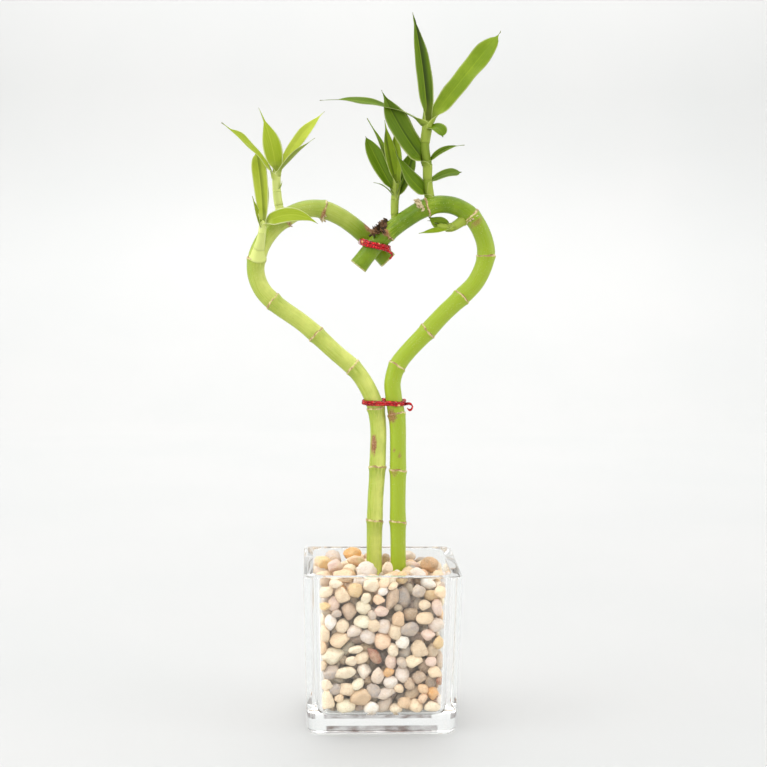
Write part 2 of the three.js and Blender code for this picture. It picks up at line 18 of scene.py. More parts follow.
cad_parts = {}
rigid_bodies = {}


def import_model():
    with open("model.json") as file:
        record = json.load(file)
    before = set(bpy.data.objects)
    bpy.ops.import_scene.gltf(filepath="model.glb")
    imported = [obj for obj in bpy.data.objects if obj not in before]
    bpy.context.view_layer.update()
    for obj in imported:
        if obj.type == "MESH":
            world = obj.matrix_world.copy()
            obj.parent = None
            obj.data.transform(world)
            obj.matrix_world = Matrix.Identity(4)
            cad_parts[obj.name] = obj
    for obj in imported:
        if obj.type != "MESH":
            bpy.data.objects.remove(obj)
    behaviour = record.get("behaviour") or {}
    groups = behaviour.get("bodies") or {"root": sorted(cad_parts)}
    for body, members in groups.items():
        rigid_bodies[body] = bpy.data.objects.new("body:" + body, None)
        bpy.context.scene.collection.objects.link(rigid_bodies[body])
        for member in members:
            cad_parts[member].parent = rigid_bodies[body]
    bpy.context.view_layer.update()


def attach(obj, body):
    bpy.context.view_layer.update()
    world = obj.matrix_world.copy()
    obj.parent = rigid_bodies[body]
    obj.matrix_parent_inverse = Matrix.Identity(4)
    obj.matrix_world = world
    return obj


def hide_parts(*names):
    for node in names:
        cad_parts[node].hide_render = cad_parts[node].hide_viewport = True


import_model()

MM = 0.001
ROOT = "root"
WHITE = (1.0, 1.0, 1.0, 1.0)
LOG = logging.getLogger("lucky_bamboo")
Rgba = tuple[float, float, float, float]
Triple = tuple[float, float, float]
Rows = np.ndarray


def paint(code: int, alpha: float = 1.0) -> Rgba:
    """Turns a colour chip into the linear colour that a shader wants.

    Args:
        code: The chip as 0xRRGGBB.
        alpha: How solid it is.

    Returns:
        Linear red, green, blue and alpha.
    """
    parts = [((code >> shift) & 255) / 255 for shift in (16, 8, 0)]
    red, green, blue = (c / 12.92 if c <= 0.04045 else ((c + 0.055) / 1.055) ** 2.4 for c in parts)
    return red, green, blue, alpha


def ease(value: Any) -> Any:
    """Goes smoothly from 0 to 1 as value does."""
    held = np.clip(value, 0.0, 1.0)
    return held * held * (3 - 2 * held)


def mix(low: Any, high: Any, share: Any) -> Any:
    """Goes from low to high as share goes from 0 to 1."""
    return low + (high - low) * share


def unit(rows: Rows) -> Rows:
    """Scales each row to length one."""
    return rows / np.maximum(np.linalg.norm(rows, axis=-1, keepdims=True), 1e-9)


def grain_noise(points: Rows, scale: float, shift: float = 0.0) -> Rows:
    """Reads smooth noise at each point.

    Args:
        points: Rows of x, y, z in millimetres.
        scale: Size of one lump in millimetres.
        shift: Moves the pattern, so that two uses differ.

    Returns:
        One value from about -1 to 1 for each row.
    """
    return np.array([noise.noise(Vector(p) / scale + Vector((shift, shift * 1.7, -shift))) for p in points])


# ---- wiring of node trees


class Wiring:
    """Adds nodes to one tree and joins them."""

    def __init__(self, tree: NodeTree) -> None:
        """Keeps the tree that is wired."""
        self.tree = tree

    def add(self, kind: str, sockets: Optional[dict] = None, **settings: Any) -> Node:
        """Adds one node.

        Args:
            kind: The node's type name.
            sockets: Input name or number, to a value or to the socket that feeds it.
            settings: The node's own options.

        Returns:
            The new node.
        """
        node = self.tree.nodes.new(kind)
        for key, value in settings.items():
            setattr(node, key, value)
        self.fill(node, sockets or {})
        return node

    def fill(self, node: Node, sockets: dict) -> None:
        """Sets a node's inputs.

        Args:
            node: The node.
            sockets: Input name, with _ for a space, or number, to a value or to the socket that feeds it.
        """
        for key, value in sockets.items():
            socket = node.inputs[key.replace("_", " ") if isinstance(key, str) else key]
            if isinstance(value, NodeSocket):
                self.tree.links.new(value, socket)
            else:
                socket.default_value = value

    def close(self, out: Node, **sockets: Any) -> NodeTree:
        """Feeds the tree's output node and gives the tree."""
        self.fill(out, sockets)
        return self.tree

    def math(self, operation: str, *values: Any) -> NodeSocket:
        """Works out one sum of one to three numbers or sockets."""
        return self.add("ShaderNodeMath", dict(enumerate(values)), operation=operation).outputs[0]

    def times(self, *values: Any) -> NodeSocket:
        """Multiplies two numbers or sockets."""
        return self.math("MULTIPLY", *values)

    def blend(self, share: Any, under: Any, over: Any, how: str = "MIX") -> NodeSocket:
        """Mixes two colours.

        Args:
            share: How much of the second shows.
            under: The first colour.
            over: The second colour.
            how: The way they mix.

        Returns:
            The mixed colour's socket.
        """
        sockets = {0: share, 6: under, 7: over}
        return self.add("ShaderNodeMix", sockets, data_type="RGBA", blend_type=how).outputs[2]

    def window(self, value: Any, low: Any, high: Any, start: Any = 0.0, end: Any = 1.0) -> NodeSocket:
        """Eases from start to end as value goes from low to high.

        Args:
            value: What is read.
            low: Where the change begins.
            high: Where it is done.
            start: The result below low.
            end: The result above high.

        Returns:
            The result's socket.
        """
        sockets = {0: value, 1: low, 2: high, 3: start, 4: end}
        return self.add("ShaderNodeMapRange", sockets, interpolation_type="SMOOTHSTEP").outputs[0]

    def noise(self, vector: Any, scale: Any, detail: float = 3.0, rough: float = 0.55) -> NodeSocket:
        """Reads cloudy noise.

        Args:
            vector: Where it is read.
            scale: Lumps for each unit of length.
            detail: Layers of finer lumps.
            rough: How strong the finer lumps are.

        Returns:
            A value from 0 to 1.
        """
        sockets = {"Vector": vector, "Scale": scale, "Detail": detail, "Roughness": rough}
        return self.add("ShaderNodeTexNoise", sockets).outputs[0]

    def stretch(self, vector: Any, scale: Sequence[float]) -> NodeSocket:
        """Multiplies a vector by one number for each axis."""
        return self.add("ShaderNodeVectorMath", {0: vector, 1: tuple(scale)}, operation="MULTIPLY").outputs[0]

    def split(self, vector: Any) -> bpy_prop_collection:
        """Gives a vector's three parts."""
        return self.add("ShaderNodeSeparateXYZ", {0: vector}).outputs

    def read(self, name: str, output: str = "Vector") -> NodeSocket:
        """Reads an attribute of the piece."""
        return self.add("ShaderNodeAttribute", attribute_name=name).outputs[output]

    def group(self, tree: NodeTree, **sockets: Any) -> bpy_prop_collection:
        """Places a group.

        Args:
            tree: The group.
            sockets: Its inputs, with _ for a space.

        Returns:
            Its outputs.
        """
        return self.add("ShaderNodeGroup", sockets, node_tree=tree).outputs


def new_tree(kind: str, name: str, ins: Sequence[tuple], outs: Sequence[tuple]) -> tuple[Wiring, Any, Any]:
    """Starts a tree with named inputs and outputs.

    Args:
        kind: Shader or Geometry.
        name: The tree's name.
        ins: Name, kind and any value of each input.
        outs: Name and kind of each output.

    Returns:
        Its wiring, its inputs' sockets and its output node.
    """
    tree = bpy.data.node_groups.new(name, f"{kind}NodeTree")
    for way, rows in (("INPUT", ins), ("OUTPUT", outs)):
        for label, form, *value in rows:
            socket = tree.interface.new_socket(label, in_out=way, socket_type=f"NodeSocket{form}")
            if value:
                socket.default_value = value[0]
    wiring = Wiring(tree)
    return wiring, wiring.add("NodeGroupInput").outputs, wiring.add("NodeGroupOutput")


class EffectKit:
    """The shader groups that several finishes share."""

    def __init__(self) -> None:
        """Builds each group once."""
        self.clouding = self._clouding()
        self.specks = self._specks()
        self.fibres = self._fibres()
        self.relief = self._relief()

    @staticmethod
    def _clouding() -> NodeTree:
        """Drifts one colour towards another in soft clouds."""
        ins = [("Vector", "Vector"), ("Scale", "Float", 5.0), ("Amount", "Float", 0.5),
               ("Color", "Color", WHITE), ("Drift", "Color", WHITE)]
        w, given, out = new_tree("Shader", "clouding", ins, [("Color", "Color"), ("Mask", "Float")])
        clouds = w.window(w.noise(given["Vector"], given["Scale"], 4.0, 0.6), 0.32, 0.68)
        share = w.times(clouds, given["Amount"])
        return w.close(out, Color=w.blend(share, given["Color"], given["Drift"]), Mask=clouds)

    @staticmethod
    def _specks() -> NodeTree:
        """Marks small scattered specks."""
        ins = [("Vector", "Vector"), ("Scale", "Float", 100.0), ("Size", "Float", 0.2), ("Share", "Float", 0.5)]
        w, given, out = new_tree("Shader", "specks", ins, [("Mask", "Float")])
        cell = w.add("ShaderNodeTexVoronoi", {"Vector": given["Vector"], "Scale": given["Scale"]})
        dot = w.window(cell.outputs["Distance"], 0.0, given["Size"], 1.0, 0.0)
        chosen = w.math("LESS_THAN", w.split(cell.outputs["Color"])[0], given["Share"])
        return w.close(out, Mask=w.times(dot, chosen))

    @staticmethod
    def _fibres() -> NodeTree:
        """Marks fine lines that run along a piece, from a vector whose third part is the way along."""
        ins = [("Vector", "Vector"), ("Fineness", "Float", 1.0), ("Length", "Float", 0.05)]
        w, given, out = new_tree("Shader", "fibres", ins, [("Mask", "Float")])
        parts = w.split(given["Vector"])
        along = w.times(parts[2], given["Length"])
        across = [w.times(part, given["Fineness"]) for part in parts[:2]]
        where = w.add("ShaderNodeCombineXYZ", {0: across[0], 1: across[1], 2: along}).outputs[0]
        return w.close(out, Mask=w.window(w.noise(where, 1.0, 3.0, 0.6), 0.3, 0.7))

    @staticmethod
    def _relief() -> NodeTree:
        """Gives the height of a fine uneven skin."""
        ins = [("Vector", "Vector"), ("Scale", "Float", 300.0), ("Coarse", "Float", 0.5)]
        w, given, out = new_tree("Shader", "relief", ins, [("Height", "Float")])
        fine = w.noise(given["Vector"], given["Scale"], 3.0, 0.6)
        coarse = w.noise(given["Vector"], w.times(given["Scale"], 0.2), 2.0, 0.5)
        return w.close(out, Height=w.math("ADD", fine, w.times(coarse, given["Coarse"])))


class Surface(Wiring):
    """A new material and its Principled BSDF."""

    def __init__(self, name: str) -> None:
        """Starts the material."""
        self.material = bpy.data.materials.new(name)
        self.material.use_nodes = True
        super().__init__(self.material.node_tree)
        self.bsdf = self.tree.nodes["Principled BSDF"]

    def coords(self) -> NodeSocket:
        """Reads the place on the piece."""
        return self.add("ShaderNodeTexCoord").outputs["Object"]

    def dress(self, relief: Optional[tuple] = None, **sockets: Any) -> Material:
        """Sets the shader's own sockets.

        Args:
            relief: Strength, distance and height of the bump.
            sockets: The shader's inputs, with _ for a space.

        Returns:
            The material.
        """
        if relief:
            bump = self.add("ShaderNodeBump", dict(zip(("Strength", "Distance", "Height"), relief)))
            sockets["Normal"] = bump.outputs[0]
        self.fill(self.bsdf, sockets)
        return self.material


# ---- finishes


@dataclass(frozen=True)
class StalkFinish:
    """Waxy green skin with fine fibres, pale rings at the nodes and brown scars, with painted light and shade: lighter
    on one side, darker on the other and along the arches.
    """

    name: str
    skin: int
    # bright and shade: painted light and shade on the two sides of the stalk, partly the skin's own sunnier and greener
    # sides; bright also tints the fibres, shade the clouds and the wedges below the nodes.
    bright: int
    shade: int
    # deep: painted shade along the arches and where the stalks cross.
    deep: int
    ring: int = 0xE6CF9C
    bark: int = 0x8A5430
    healed: int = 0xC69A70
    speck: int = 0xE2E6A0

    def build(self, kit: EffectKit) -> Material:
        """Wires the skin.

        Args:
            kit: The shared effects.

        Returns:
            The material.
        """
        w = Surface(self.name)
        skin = w.read("skin")
        gap = w.read("node_gap", "Fac")
        side = w.read("side", "Fac")
        # Painted light and shade: from shade to bright by the side the skin faces, partly the skin's own tone.
        body = w.blend(w.window(side, -0.9, 0.9), paint(self.shade), paint(self.bright))
        body = w.blend(0.35, body, paint(self.skin))
        # Painted shade: towards deep along the arches and at the crossing; the pale fibres fade there too.
        body = w.blend(w.read("depth", "Fac"), body, paint(self.deep))
        cloud = w.group(kit.clouding, Vector=skin, Scale=0.11, Amount=0.3, Color=body, Drift=paint(self.shade))
        fibres = w.group(kit.fibres, Vector=skin, Fineness=1.6, Length=0.06)["Mask"]
        glow = w.times(fibres, w.window(w.read("depth", "Fac"), 0.0, 0.8, 0.2, 0.02))
        body = w.blend(glow, cloud["Color"], paint(self.bright))
        near = w.read("node_near", "Fac")
        wedge = w.times(w.window(near, 2.0, 13.0, 1.0, 0.0), w.window(gap, -1.0, 0.0, 1.0, 0.0))
        body = w.blend(w.times(wedge, w.times(fibres, 0.7)), body, paint(self.shade))
        dots = w.group(kit.specks, Vector=skin, Scale=1.1, Size=0.35, Share=0.3)["Mask"]
        above = w.window(gap, 0.0, 9.0, 1.0, 0.25)
        body = w.blend(w.times(dots, w.times(above, 0.6)), body, paint(self.speck))
        body = self._ring(w, body, gap, skin)
        scar = w.read("scar", "Fac")
        healed = w.group(kit.clouding, Vector=skin, Scale=1.4, Amount=0.8, Color=paint(self.bark),
                         Drift=paint(self.healed))
        body = w.blend(scar, body, healed["Color"])
        rough = w.math("ADD", w.window(fibres, 0.0, 1.0, 0.26, 0.4), w.times(scar, 0.35))
        height = w.math("ADD", w.times(fibres, 0.6), w.noise(skin, 0.35, 3.0))
        return w.dress((0.25, 0.0004, height), Base_Color=body, Roughness=rough, Specular_IOR_Level=0.25,
                       Coat_Weight=0.12, Coat_Roughness=0.14, Subsurface_Weight=0.06, Subsurface_Scale=0.002)

    def _ring(self, w: Wiring, body: Any, gap: Any, skin: Any) -> NodeSocket:
        """Draws the pale ring of each node and the thin bark edge above it.

        Args:
            w: The wiring.
            body: The skin's colour.
            gap: Distance above the nearest node.
            skin: Place on the skin.

        Returns:
            The skin's colour with rings.
        """
        patchy = w.noise(skin, 0.5, 3.0)
        wide = w.window(patchy, 0.35, 0.65, 0.25, 0.8)
        near = w.read("node_near", "Fac")
        ring = w.times(w.window(w.math("DIVIDE", near, wide), 0.7, 1.25, 1.0, 0.0), 0.9)
        tan = w.times(w.window(w.noise(skin, 0.33, 2.0), 0.44, 0.6), 0.7)
        body = w.blend(ring, body, w.blend(tan, paint(self.ring), paint(self.bark)))
        edge = w.times(w.window(gap, 0.2, 0.5), w.window(gap, 0.6, 1.1, 1.0, 0.0))
        edge = w.times(edge, w.window(w.noise(skin, 0.23, 2.0), 0.42, 0.6))
        edge = w.times(edge, w.window(near, 1.5, 2.5, 0.9, 0.0))
        sawn = w.times(w.window(w.read("end_near", "Fac"), 0.3, 1.0, 1.0, 0.0), wide)
        return w.blend(sawn, w.blend(edge, body, paint(self.bark)), paint(self.ring))


@dataclass(frozen=True)
class LeafFinish:
    """Satin leaf skin with parallel veins, painted shade along one side of the fold, pale edges and a pale foot."""

    name: str
    dark: int
    middle: int
    light: int
    edge: int
    foot: int
    edge_share: float = 0.45
    dried: int = 0x6E5F28
    shadow: int = 0x9DAA70

    def build(self, kit: EffectKit) -> Material:
        """Wires the leaf.

        Args:
            kit: The shared effects.

        Returns:
            The material.
        """
        w = Surface(self.name)
        across, along, number = w.split(w.read("blade"))
        side, length, under = w.split(w.read("span"))
        tone = w.read("tone", "Fac")
        body = w.blend(w.window(tone, 0.0, 0.5), paint(self.dark), paint(self.middle))
        body = w.blend(w.window(tone, 0.5, 1.0), body, paint(self.light))
        where = w.add("ShaderNodeCombineXYZ", {0: across, 1: number, 2: along}).outputs[0]
        veins = w.group(kit.fibres, Vector=where, Fineness=2.2, Length=0.035)["Mask"]
        body = w.blend(w.times(veins, 0.34), body, paint(self.light))
        fine = w.group(kit.fibres, Vector=where, Fineness=5.0, Length=0.05)["Mask"]
        body = w.blend(w.times(fine, 0.22), body, paint(self.dark))
        coords = w.coords()
        cloud = w.group(kit.clouding, Vector=coords, Scale=90.0, Amount=0.35, Color=body, Drift=paint(self.middle))
        body = cloud["Color"]
        rib = w.times(w.window(w.math("ABSOLUTE", across), 0.1, 0.45, 1.0, 0.0), w.window(length, 0.7, 0.95, 0.3, 0.0))
        body = w.blend(rib, body, paint(self.light))
        # Painted shade in the fold: one half of the blade beside the midrib is darkened; the sign picks the half, the
        # size how dark and wide.
        crease = w.read("crease", "Fac")
        turned = w.times(across, w.math("SIGN", crease))
        depth = w.math("ABSOLUTE", crease)
        fold = w.times(w.window(turned, -0.1, 0.6),
                       w.window(turned, 1.0, w.math("MULTIPLY_ADD", depth, 5.0, 0.6), 1.0, 0.15))
        body = w.blend(w.times(fold, depth), body, paint(self.dark))
        margin = w.window(w.math("ABSOLUTE", side), 0.82, 0.97)
        margin = w.times(margin, w.window(length, 0.15, 0.6, 1.3, 0.7))
        body = w.blend(w.times(margin, self.edge_share), body, paint(self.edge))
        body = w.blend(w.window(length, -0.08, 0.22, 0.75, 0.0), body, paint(self.foot))
        body = w.blend(w.window(length, 0.955, 1.0, 0.0, 0.7), body, paint(self.dried))
        body = w.blend(w.times(under, w.window(length, 0.0, 0.25, 0.0, 0.22)), body, paint(self.shadow))
        return w.dress((0.35, 0.0003, w.math("ADD", veins, w.times(fine, 0.5))), Base_Color=body,
                       Roughness=w.window(veins, 0.0, 1.0, 0.34, 0.48), Specular_IOR_Level=0.16)


@dataclass(frozen=True)
class PebbleFinish:
    """Smooth river stone, with clouds, flecks and an odd vein. Each stone brings its own tint."""

    name: str
    drift: int
    fleck: int
    gloss: float = 0.5
    grain: int = 0xFFF8EA
    seam: int = 0xB98F63

    def build(self, kit: EffectKit) -> Material:
        """Wires the stone.

        Args:
            kit: The shared effects.

        Returns:
            The material.
        """
        w = Surface(self.name)
        coords = w.coords()
        tint = w.read("tint", "Color")
        cloud = w.group(kit.clouding, Vector=coords, Scale=260.0, Amount=0.42, Color=tint, Drift=paint(self.drift))
        grit = w.noise(coords, 1500.0, 4.0, 0.65)
        body = w.blend(w.window(grit, 0.4, 0.75, 0.0, 0.3), cloud["Color"], paint(self.grain))
        flecks = w.group(kit.specks, Vector=coords, Scale=900.0, Size=0.4, Share=0.18)["Mask"]
        body = w.blend(w.times(flecks, 0.4), body, paint(self.fleck))
        bands = w.noise(w.stretch(coords, (1.0, 1.4, 3.0)), 120.0, 3.0, 0.7)
        vein = w.window(w.math("ABSOLUTE", w.math("SUBTRACT", bands, 0.5)), 0.0, 0.025, 1.0, 0.0)
        body = w.blend(w.times(vein, 0.35), body, paint(self.seam))
        height = w.group(kit.relief, Vector=coords, Scale=1400.0, Coarse=1.4)["Height"]
        return w.dress((0.6, 0.0005, height), Base_Color=body,
                       Roughness=w.window(grit, 0.3, 0.7, self.gloss - 0.1, self.gloss + 0.14))


@dataclass(frozen=True)
class GlassFinish:
    """Clear pressed glass, slightly wavy, that lets light through to the stones, with a painted reflection of the
    stones low in the foot.
    """

    name: str = "clear_pressed_glass"
    colour: int = 0xFFFFFE
    hazed: int = 0xFBFDFD
    straight: int = 0xFDFEFE
    painted_reflection: int = 0x4E3A34
    inner_turns: float = 3.5

    def build(self, kit: EffectKit) -> Material:
        """Wires the glass.

        Args:
            kit: The shared effects. Not used.

        Returns:
            The material.
        """
        w = Surface(self.name)
        coords = w.coords()
        smear = w.noise(coords, 60.0, 3.0, 0.6)
        tone = w.blend(w.window(smear, 0.3, 0.7), paint(self.colour), paint(self.hazed))
        # Painted reflection of the stones in the foot.
        tone = w.blend(self._foot_band(w, coords), tone, paint(self.painted_reflection))
        clear = w.add("ShaderNodeBsdfTransparent", {"Color": paint(self.straight)})
        path = w.add("ShaderNodeLightPath").outputs
        trapped = w.math("GREATER_THAN", path["Ray Depth"], self.inner_turns)
        free = w.math("MAXIMUM", path["Is Shadow Ray"], trapped)
        both = w.add("ShaderNodeMixShader", {0: free, 1: w.bsdf.outputs[0], 2: clear.outputs[0]})
        w.fill(w.tree.nodes["Material Output"], {"Surface": both.outputs[0]})
        height = w.noise(w.stretch(coords, (1.0, 1.0, 0.6)), 35.0, 2.0, 0.4)
        return w.dress((0.12, 0.002, height), Base_Color=tone, Transmission_Weight=1.0, IOR=1.48,
                       Roughness=w.window(smear, 0.4, 0.8, 0.0, 0.03))

    @staticmethod
    def _foot_band(w: Wiring, coords: Any) -> NodeSocket:
        """Marks the band low in the foot's sides where the stones' reflection in the thick glass is painted.

        Args:
            w: The wiring.
            coords: Place on the piece.

        Returns:
            How much of the stones' colour shows.
        """
        parts = w.split(coords)
        sides = [w.math("ABSOLUTE", parts[axis]) for axis in (0, 1)]
        band = w.times(w.window(parts[2], 0.0016, 0.0024), w.window(parts[2], 0.0066, 0.0074, 1.0, 0.0))
        inner = w.window(w.math("MINIMUM", *sides), 0.035, 0.0365, 1.0, 0.0)
        outer = w.window(w.math("MAXIMUM", *sides), 0.042, 0.044)
        patchy = w.window(w.noise(w.stretch(coords, (1.0, 1.0, 2.2)), 120.0, 3.0), 0.3, 0.7, 0.55, 1.0)
        return w.times(w.times(band, patchy), w.times(inner, outer))


@dataclass(frozen=True)
class FoilFinish:
    """Red metal foil, creased in small facets, with painted glints and painted dark reflections."""

    name: str = "red_tie_foil"
    colour: int = 0xD80C18
    # deep: painted dark reflections in the creased foil.
    deep: int = 0x5E0208
    painted_glint: int = 0xFFE49C

    def build(self, kit: EffectKit) -> Material:
        """Wires the foil.

        Args:
            kit: The shared effects.

        Returns:
            The material.
        """
        w = Surface(self.name)
        coords = w.coords()
        creases = w.add("ShaderNodeTexVoronoi", {"Vector": coords, "Scale": 720.0})
        # Painted dark reflections: the red goes in clouds towards deep red.
        cloud = w.group(kit.clouding, Vector=coords, Scale=500.0, Amount=0.7, Color=paint(self.colour),
                        Drift=paint(self.deep))
        # Painted glints: pale yellow specks for the foil's highlights.
        painted_glints = w.group(kit.specks, Vector=coords, Scale=360.0, Size=0.5, Share=0.26)["Mask"]
        body = w.blend(w.times(painted_glints, 0.9), cloud["Color"], paint(self.painted_glint))
        return w.dress((1.0, 0.0011, creases.outputs["Distance"]), Base_Color=body, Metallic=0.85,
                       Roughness=w.window(cloud["Mask"], 0.0, 1.0, 0.16, 0.32), Coat_Weight=0.6, Coat_Roughness=0.08)


@dataclass(frozen=True)
class HuskFinish:
    """Dry papery sheath and root scar tissue: tan to dark brown, fibrous and matt."""

    name: str = "dry_husk"
    pale: int = 0xF2E2B6
    brown: int = 0x9A6430
    dark: int = 0x2A170C

    def build(self, kit: EffectKit) -> Material:
        """Wires the husk.

        Args:
            kit: The shared effects.

        Returns:
            The material.
        """
        w = Surface(self.name)
        coords = w.coords()
        tone = w.read("tone", "Fac")
        body = w.blend(w.window(tone, 0.0, 0.5), paint(self.dark), paint(self.brown))
        body = w.blend(w.window(tone, 0.5, 1.0), body, paint(self.pale))
        cloud = w.group(kit.clouding, Vector=coords, Scale=420.0, Amount=0.3, Color=body, Drift=paint(self.brown))
        threads = w.window(w.noise(w.stretch(coords, (1.0, 1.0, 0.22)), 2200.0, 3.0, 0.7), 0.35, 0.65)
        frayed = w.times(threads, w.window(tone, 0.1, 0.8, 0.05, 0.5))
        return w.dress((0.6, 0.0004, threads), Base_Color=w.blend(frayed, cloud["Color"], paint(self.pale)),
                       Roughness=w.window(threads, 0.0, 1.0, 0.6, 0.85))


@dataclass(frozen=True)
class CutFinish:
    """The sawn end of a stalk: pale pith with fibre dots inside a thin green skin."""

    name: str = "sawn_end"
    pith: int = 0xD8D9A2
    rim: int = 0x9DAE55
    dot: int = 0x8E8A50
    aged: int = 0xB7A66C

    def build(self, kit: EffectKit) -> Material:
        """Wires the cut.

        Args:
            kit: The shared effects.

        Returns:
            The material.
        """
        w = Surface(self.name)
        coords = w.coords()
        edge = w.window(w.read("tone", "Fac"), 0.7, 0.95)
        body = w.blend(edge, paint(self.pith), paint(self.rim))
        dots = w.group(kit.specks, Vector=coords, Scale=1400.0, Size=0.5, Share=0.7)["Mask"]
        body = w.blend(w.times(dots, 0.5), body, paint(self.dot))
        cloud = w.group(kit.clouding, Vector=coords, Scale=300.0, Amount=0.4, Color=body, Drift=paint(self.aged))
        return w.dress((0.4, 0.0003, dots), Base_Color=cloud["Color"], Roughness=w.window(dots, 0.0, 1.0, 0.55, 0.8))


# ---- meshes


@dataclass
class Shell:
    """Points, faces and values of one closed form, in millimetres, that others are added to."""

    points: list[Rows] = field(default_factory=list)
    faces: list[tuple[int, ...]] = field(default_factory=list)
    values: dict[str, list[Rows]] = field(default_factory=dict)
    count: int = 0

    def add(self, points: Rows, faces: Iterable[Sequence[int]], **values: Rows) -> None:
        """Adds a form.

        Args:
            points: Its points.
            faces: Its faces, numbered from its first point.
            values: What each point carries.
        """
        self.points.append(points)
        self.faces.extend(tuple(int(i) + self.count for i in face) for face in faces)
        for key, value in values.items():
            self.values.setdefault(key, []).append(value)
        self.count += len(points)

    def piece(self, name: str, material: Material) -> Object:
        """Makes the object.

        Args:
            name: Its name.
            material: Its finish.

        Returns:
            The object, smooth shaded.
        """
        mesh = bpy.data.meshes.new(name)
        mesh.from_pydata((np.concatenate(self.points) * MM).tolist(), [], self.faces)
        mesh.shade_smooth()
        mesh.materials.append(material)
        return carry(placed(name, mesh), **{key: np.concatenate(rows) for key, rows in self.values.items()})


def placed(name: str, data: Any) -> Object:
    """Puts a mesh, a light or a camera in the scene.

    Args:
        name: The object's name.
        data: What it holds.

    Returns:
        The object.
    """
    made = bpy.data.objects.new(name, data)
    bpy.context.scene.collection.objects.link(made)
    return made


def carry(piece: Object, **values: Rows) -> Object:
    """Stores values, vectors or colours for each point of a piece.

    Args:
        piece: The object.
        values: What the finish reads, to one row for each point.

    Returns:
        The object.
    """
    for name, rows in values.items():
        kind, slot = ("FLOAT", "value") if rows.ndim == 1 else ("FLOAT_VECTOR", "vector")
        if rows.ndim == 2 and rows.shape[1] == 4:
            kind, slot = "FLOAT_COLOR", "color"
        store = piece.data.attributes.get(name) or piece.data.attributes.new(name, kind, "POINT")
        store.data.foreach_set(slot, rows.astype(np.float32).ravel())
    return piece


def carried(piece: Object, name: str, width: int = 1) -> Rows:
    """Reads what each point carries.

    Args:
        piece: The object.
        name: The value's name.
        width: How many numbers each point has.

    Returns:
        One row for each point.
    """
    store = piece.data.attributes[name]
    rows = np.zeros(len(store.data) * width, dtype=np.float32)
    store.data.foreach_get("value" if width == 1 else "vector", rows)
    return rows.astype(float) if width == 1 else rows.reshape(-1, width).astype(float)


def places(piece: Object) -> Rows:
    """Reads a piece's points in millimetres."""
    return carried(piece, "position", 3) / MM


def put(piece: Object, points: Rows) -> None:
    """Moves a piece's points to these places in millimetres."""
    piece.data.vertices.foreach_set("co", (points * MM).astype(np.float32).ravel())
    piece.data.update()


def belongs(piece: Object, slot: str, *nodes: str) -> Object:
    """Lets a piece ride on the object and stand for its solids.

    Args:
        piece: The finished piece.
        slot: The record's material slot. Not used.
        nodes: The solids that it stands for.

    Returns:
        The piece.
    """
    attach(piece, ROOT)
    if nodes:
        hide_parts(*nodes)
    LOG.info("%s: %d faces", piece.name, len(piece.data.polygons))
    return piece


def grid_faces(rows: int, columns: int, closed: bool = False) -> list[tuple[int, ...]]:
    """Gives the four-sided faces of a grid.

    Args:
        rows: Points one way.
        columns: Points the other way.
        closed: Whether the last column joins the first.

    Returns:
        The faces.
    """
    faces = []
    for a in range(0, (rows - 1) * columns, columns):
        for j in range(columns if closed else columns - 1):
            k = (j + 1) % columns
            faces.append((a + j, a + k, a + columns + k, a + columns + j))
    return faces


def thin_solid(top: Rows, bottom: Rows) -> tuple[Rows, list[tuple[int, ...]]]:
    """Closes two facing sheets into one thin solid.

    Args:
        top: Rows by columns of points, seen from above with the columns going right to left.
        bottom: The same for the under side.

    Returns:
        The points and the faces.
    """
    rows, columns = top.shape[:2]
    size = rows * columns
    upper = grid_faces(rows, columns)
    lower = [tuple(size + number for number in reversed(face)) for face in upper]
    walk = [*range(columns - 1), *range(columns - 1, size - 1, columns)]
    rim = walk + [size - 1 - number for number in walk]
    sides = [(q, p, p + size, q + size) for p, q in zip(rim, rim[1:] + rim[:1])]
    return np.concatenate([top.reshape(-1, 3), bottom.reshape(-1, 3)]), upper + lower + sides


def outward(piece: Object) -> None:
    """Turns every face of a closed piece outwards."""
    work = bmesh.new()
    work.from_mesh(piece.data)
    bmesh.ops.recalc_face_normals(work, faces=work.faces)
    work.to_mesh(piece.data)
    work.free()


class Route:
    """A smooth path through given points, measured by its length, in millimetres."""

    def __init__(self, points: Sequence[Sequence[float]]) -> None:
        """Lays a centripetal spline through the points."""
        knots = np.array(points, dtype=float)
        knots = np.vstack([2 * knots[0] - knots[1], knots, 2 * knots[-1] - knots[-2]])
        parts = [self._span(knots[i:i + 4]) for i in range(len(knots) - 3)]
        self.table = np.vstack(parts + [knots[-2][None]])
        self.reach = np.concatenate([[0.0], np.cumsum(np.linalg.norm(np.diff(self.table, axis=0), axis=1))])
        self.length = float(self.reach[-1])

    @staticmethod
    def _span(four: Rows) -> Rows:
        """Samples the spline between the middle two of four points."""
        steps = np.maximum(np.linalg.norm(np.diff(four, axis=0), axis=1) ** 0.5, 1e-4)
        a, b, c = steps
        out = ((four[1] - four[0]) / a - (four[2] - four[0]) / (a + b) + (four[2] - four[1]) / b) * b
        back = ((four[2] - four[1]) / b - (four[3] - four[1]) / (b + c) + (four[3] - four[2]) / c) * b
        t = np.linspace(0, 1, 60, endpoint=False)[:, None]
        bend = -3 * four[1] + 3 * four[2] - 2 * out - back
        return four[1] + out * t + bend * t ** 2 + (2 * four[1] - 2 * four[2] + out + back) * t ** 3

    def at(self, distance: Any) -> Rows:
        """Gives the point at a distance, or one row for each distance."""
        return np.stack([np.interp(distance, self.reach, self.table[:, k]) for k in range(3)], axis=-1)

    def heading(self, distance: Any) -> Rows:
        """Gives the direction at a distance, or one row for each distance."""
        return unit(self.at(np.minimum(distance + 0.5, self.length)) - self.at(np.maximum(distance - 0.5, 0.0)))


# ---- geometry node trees


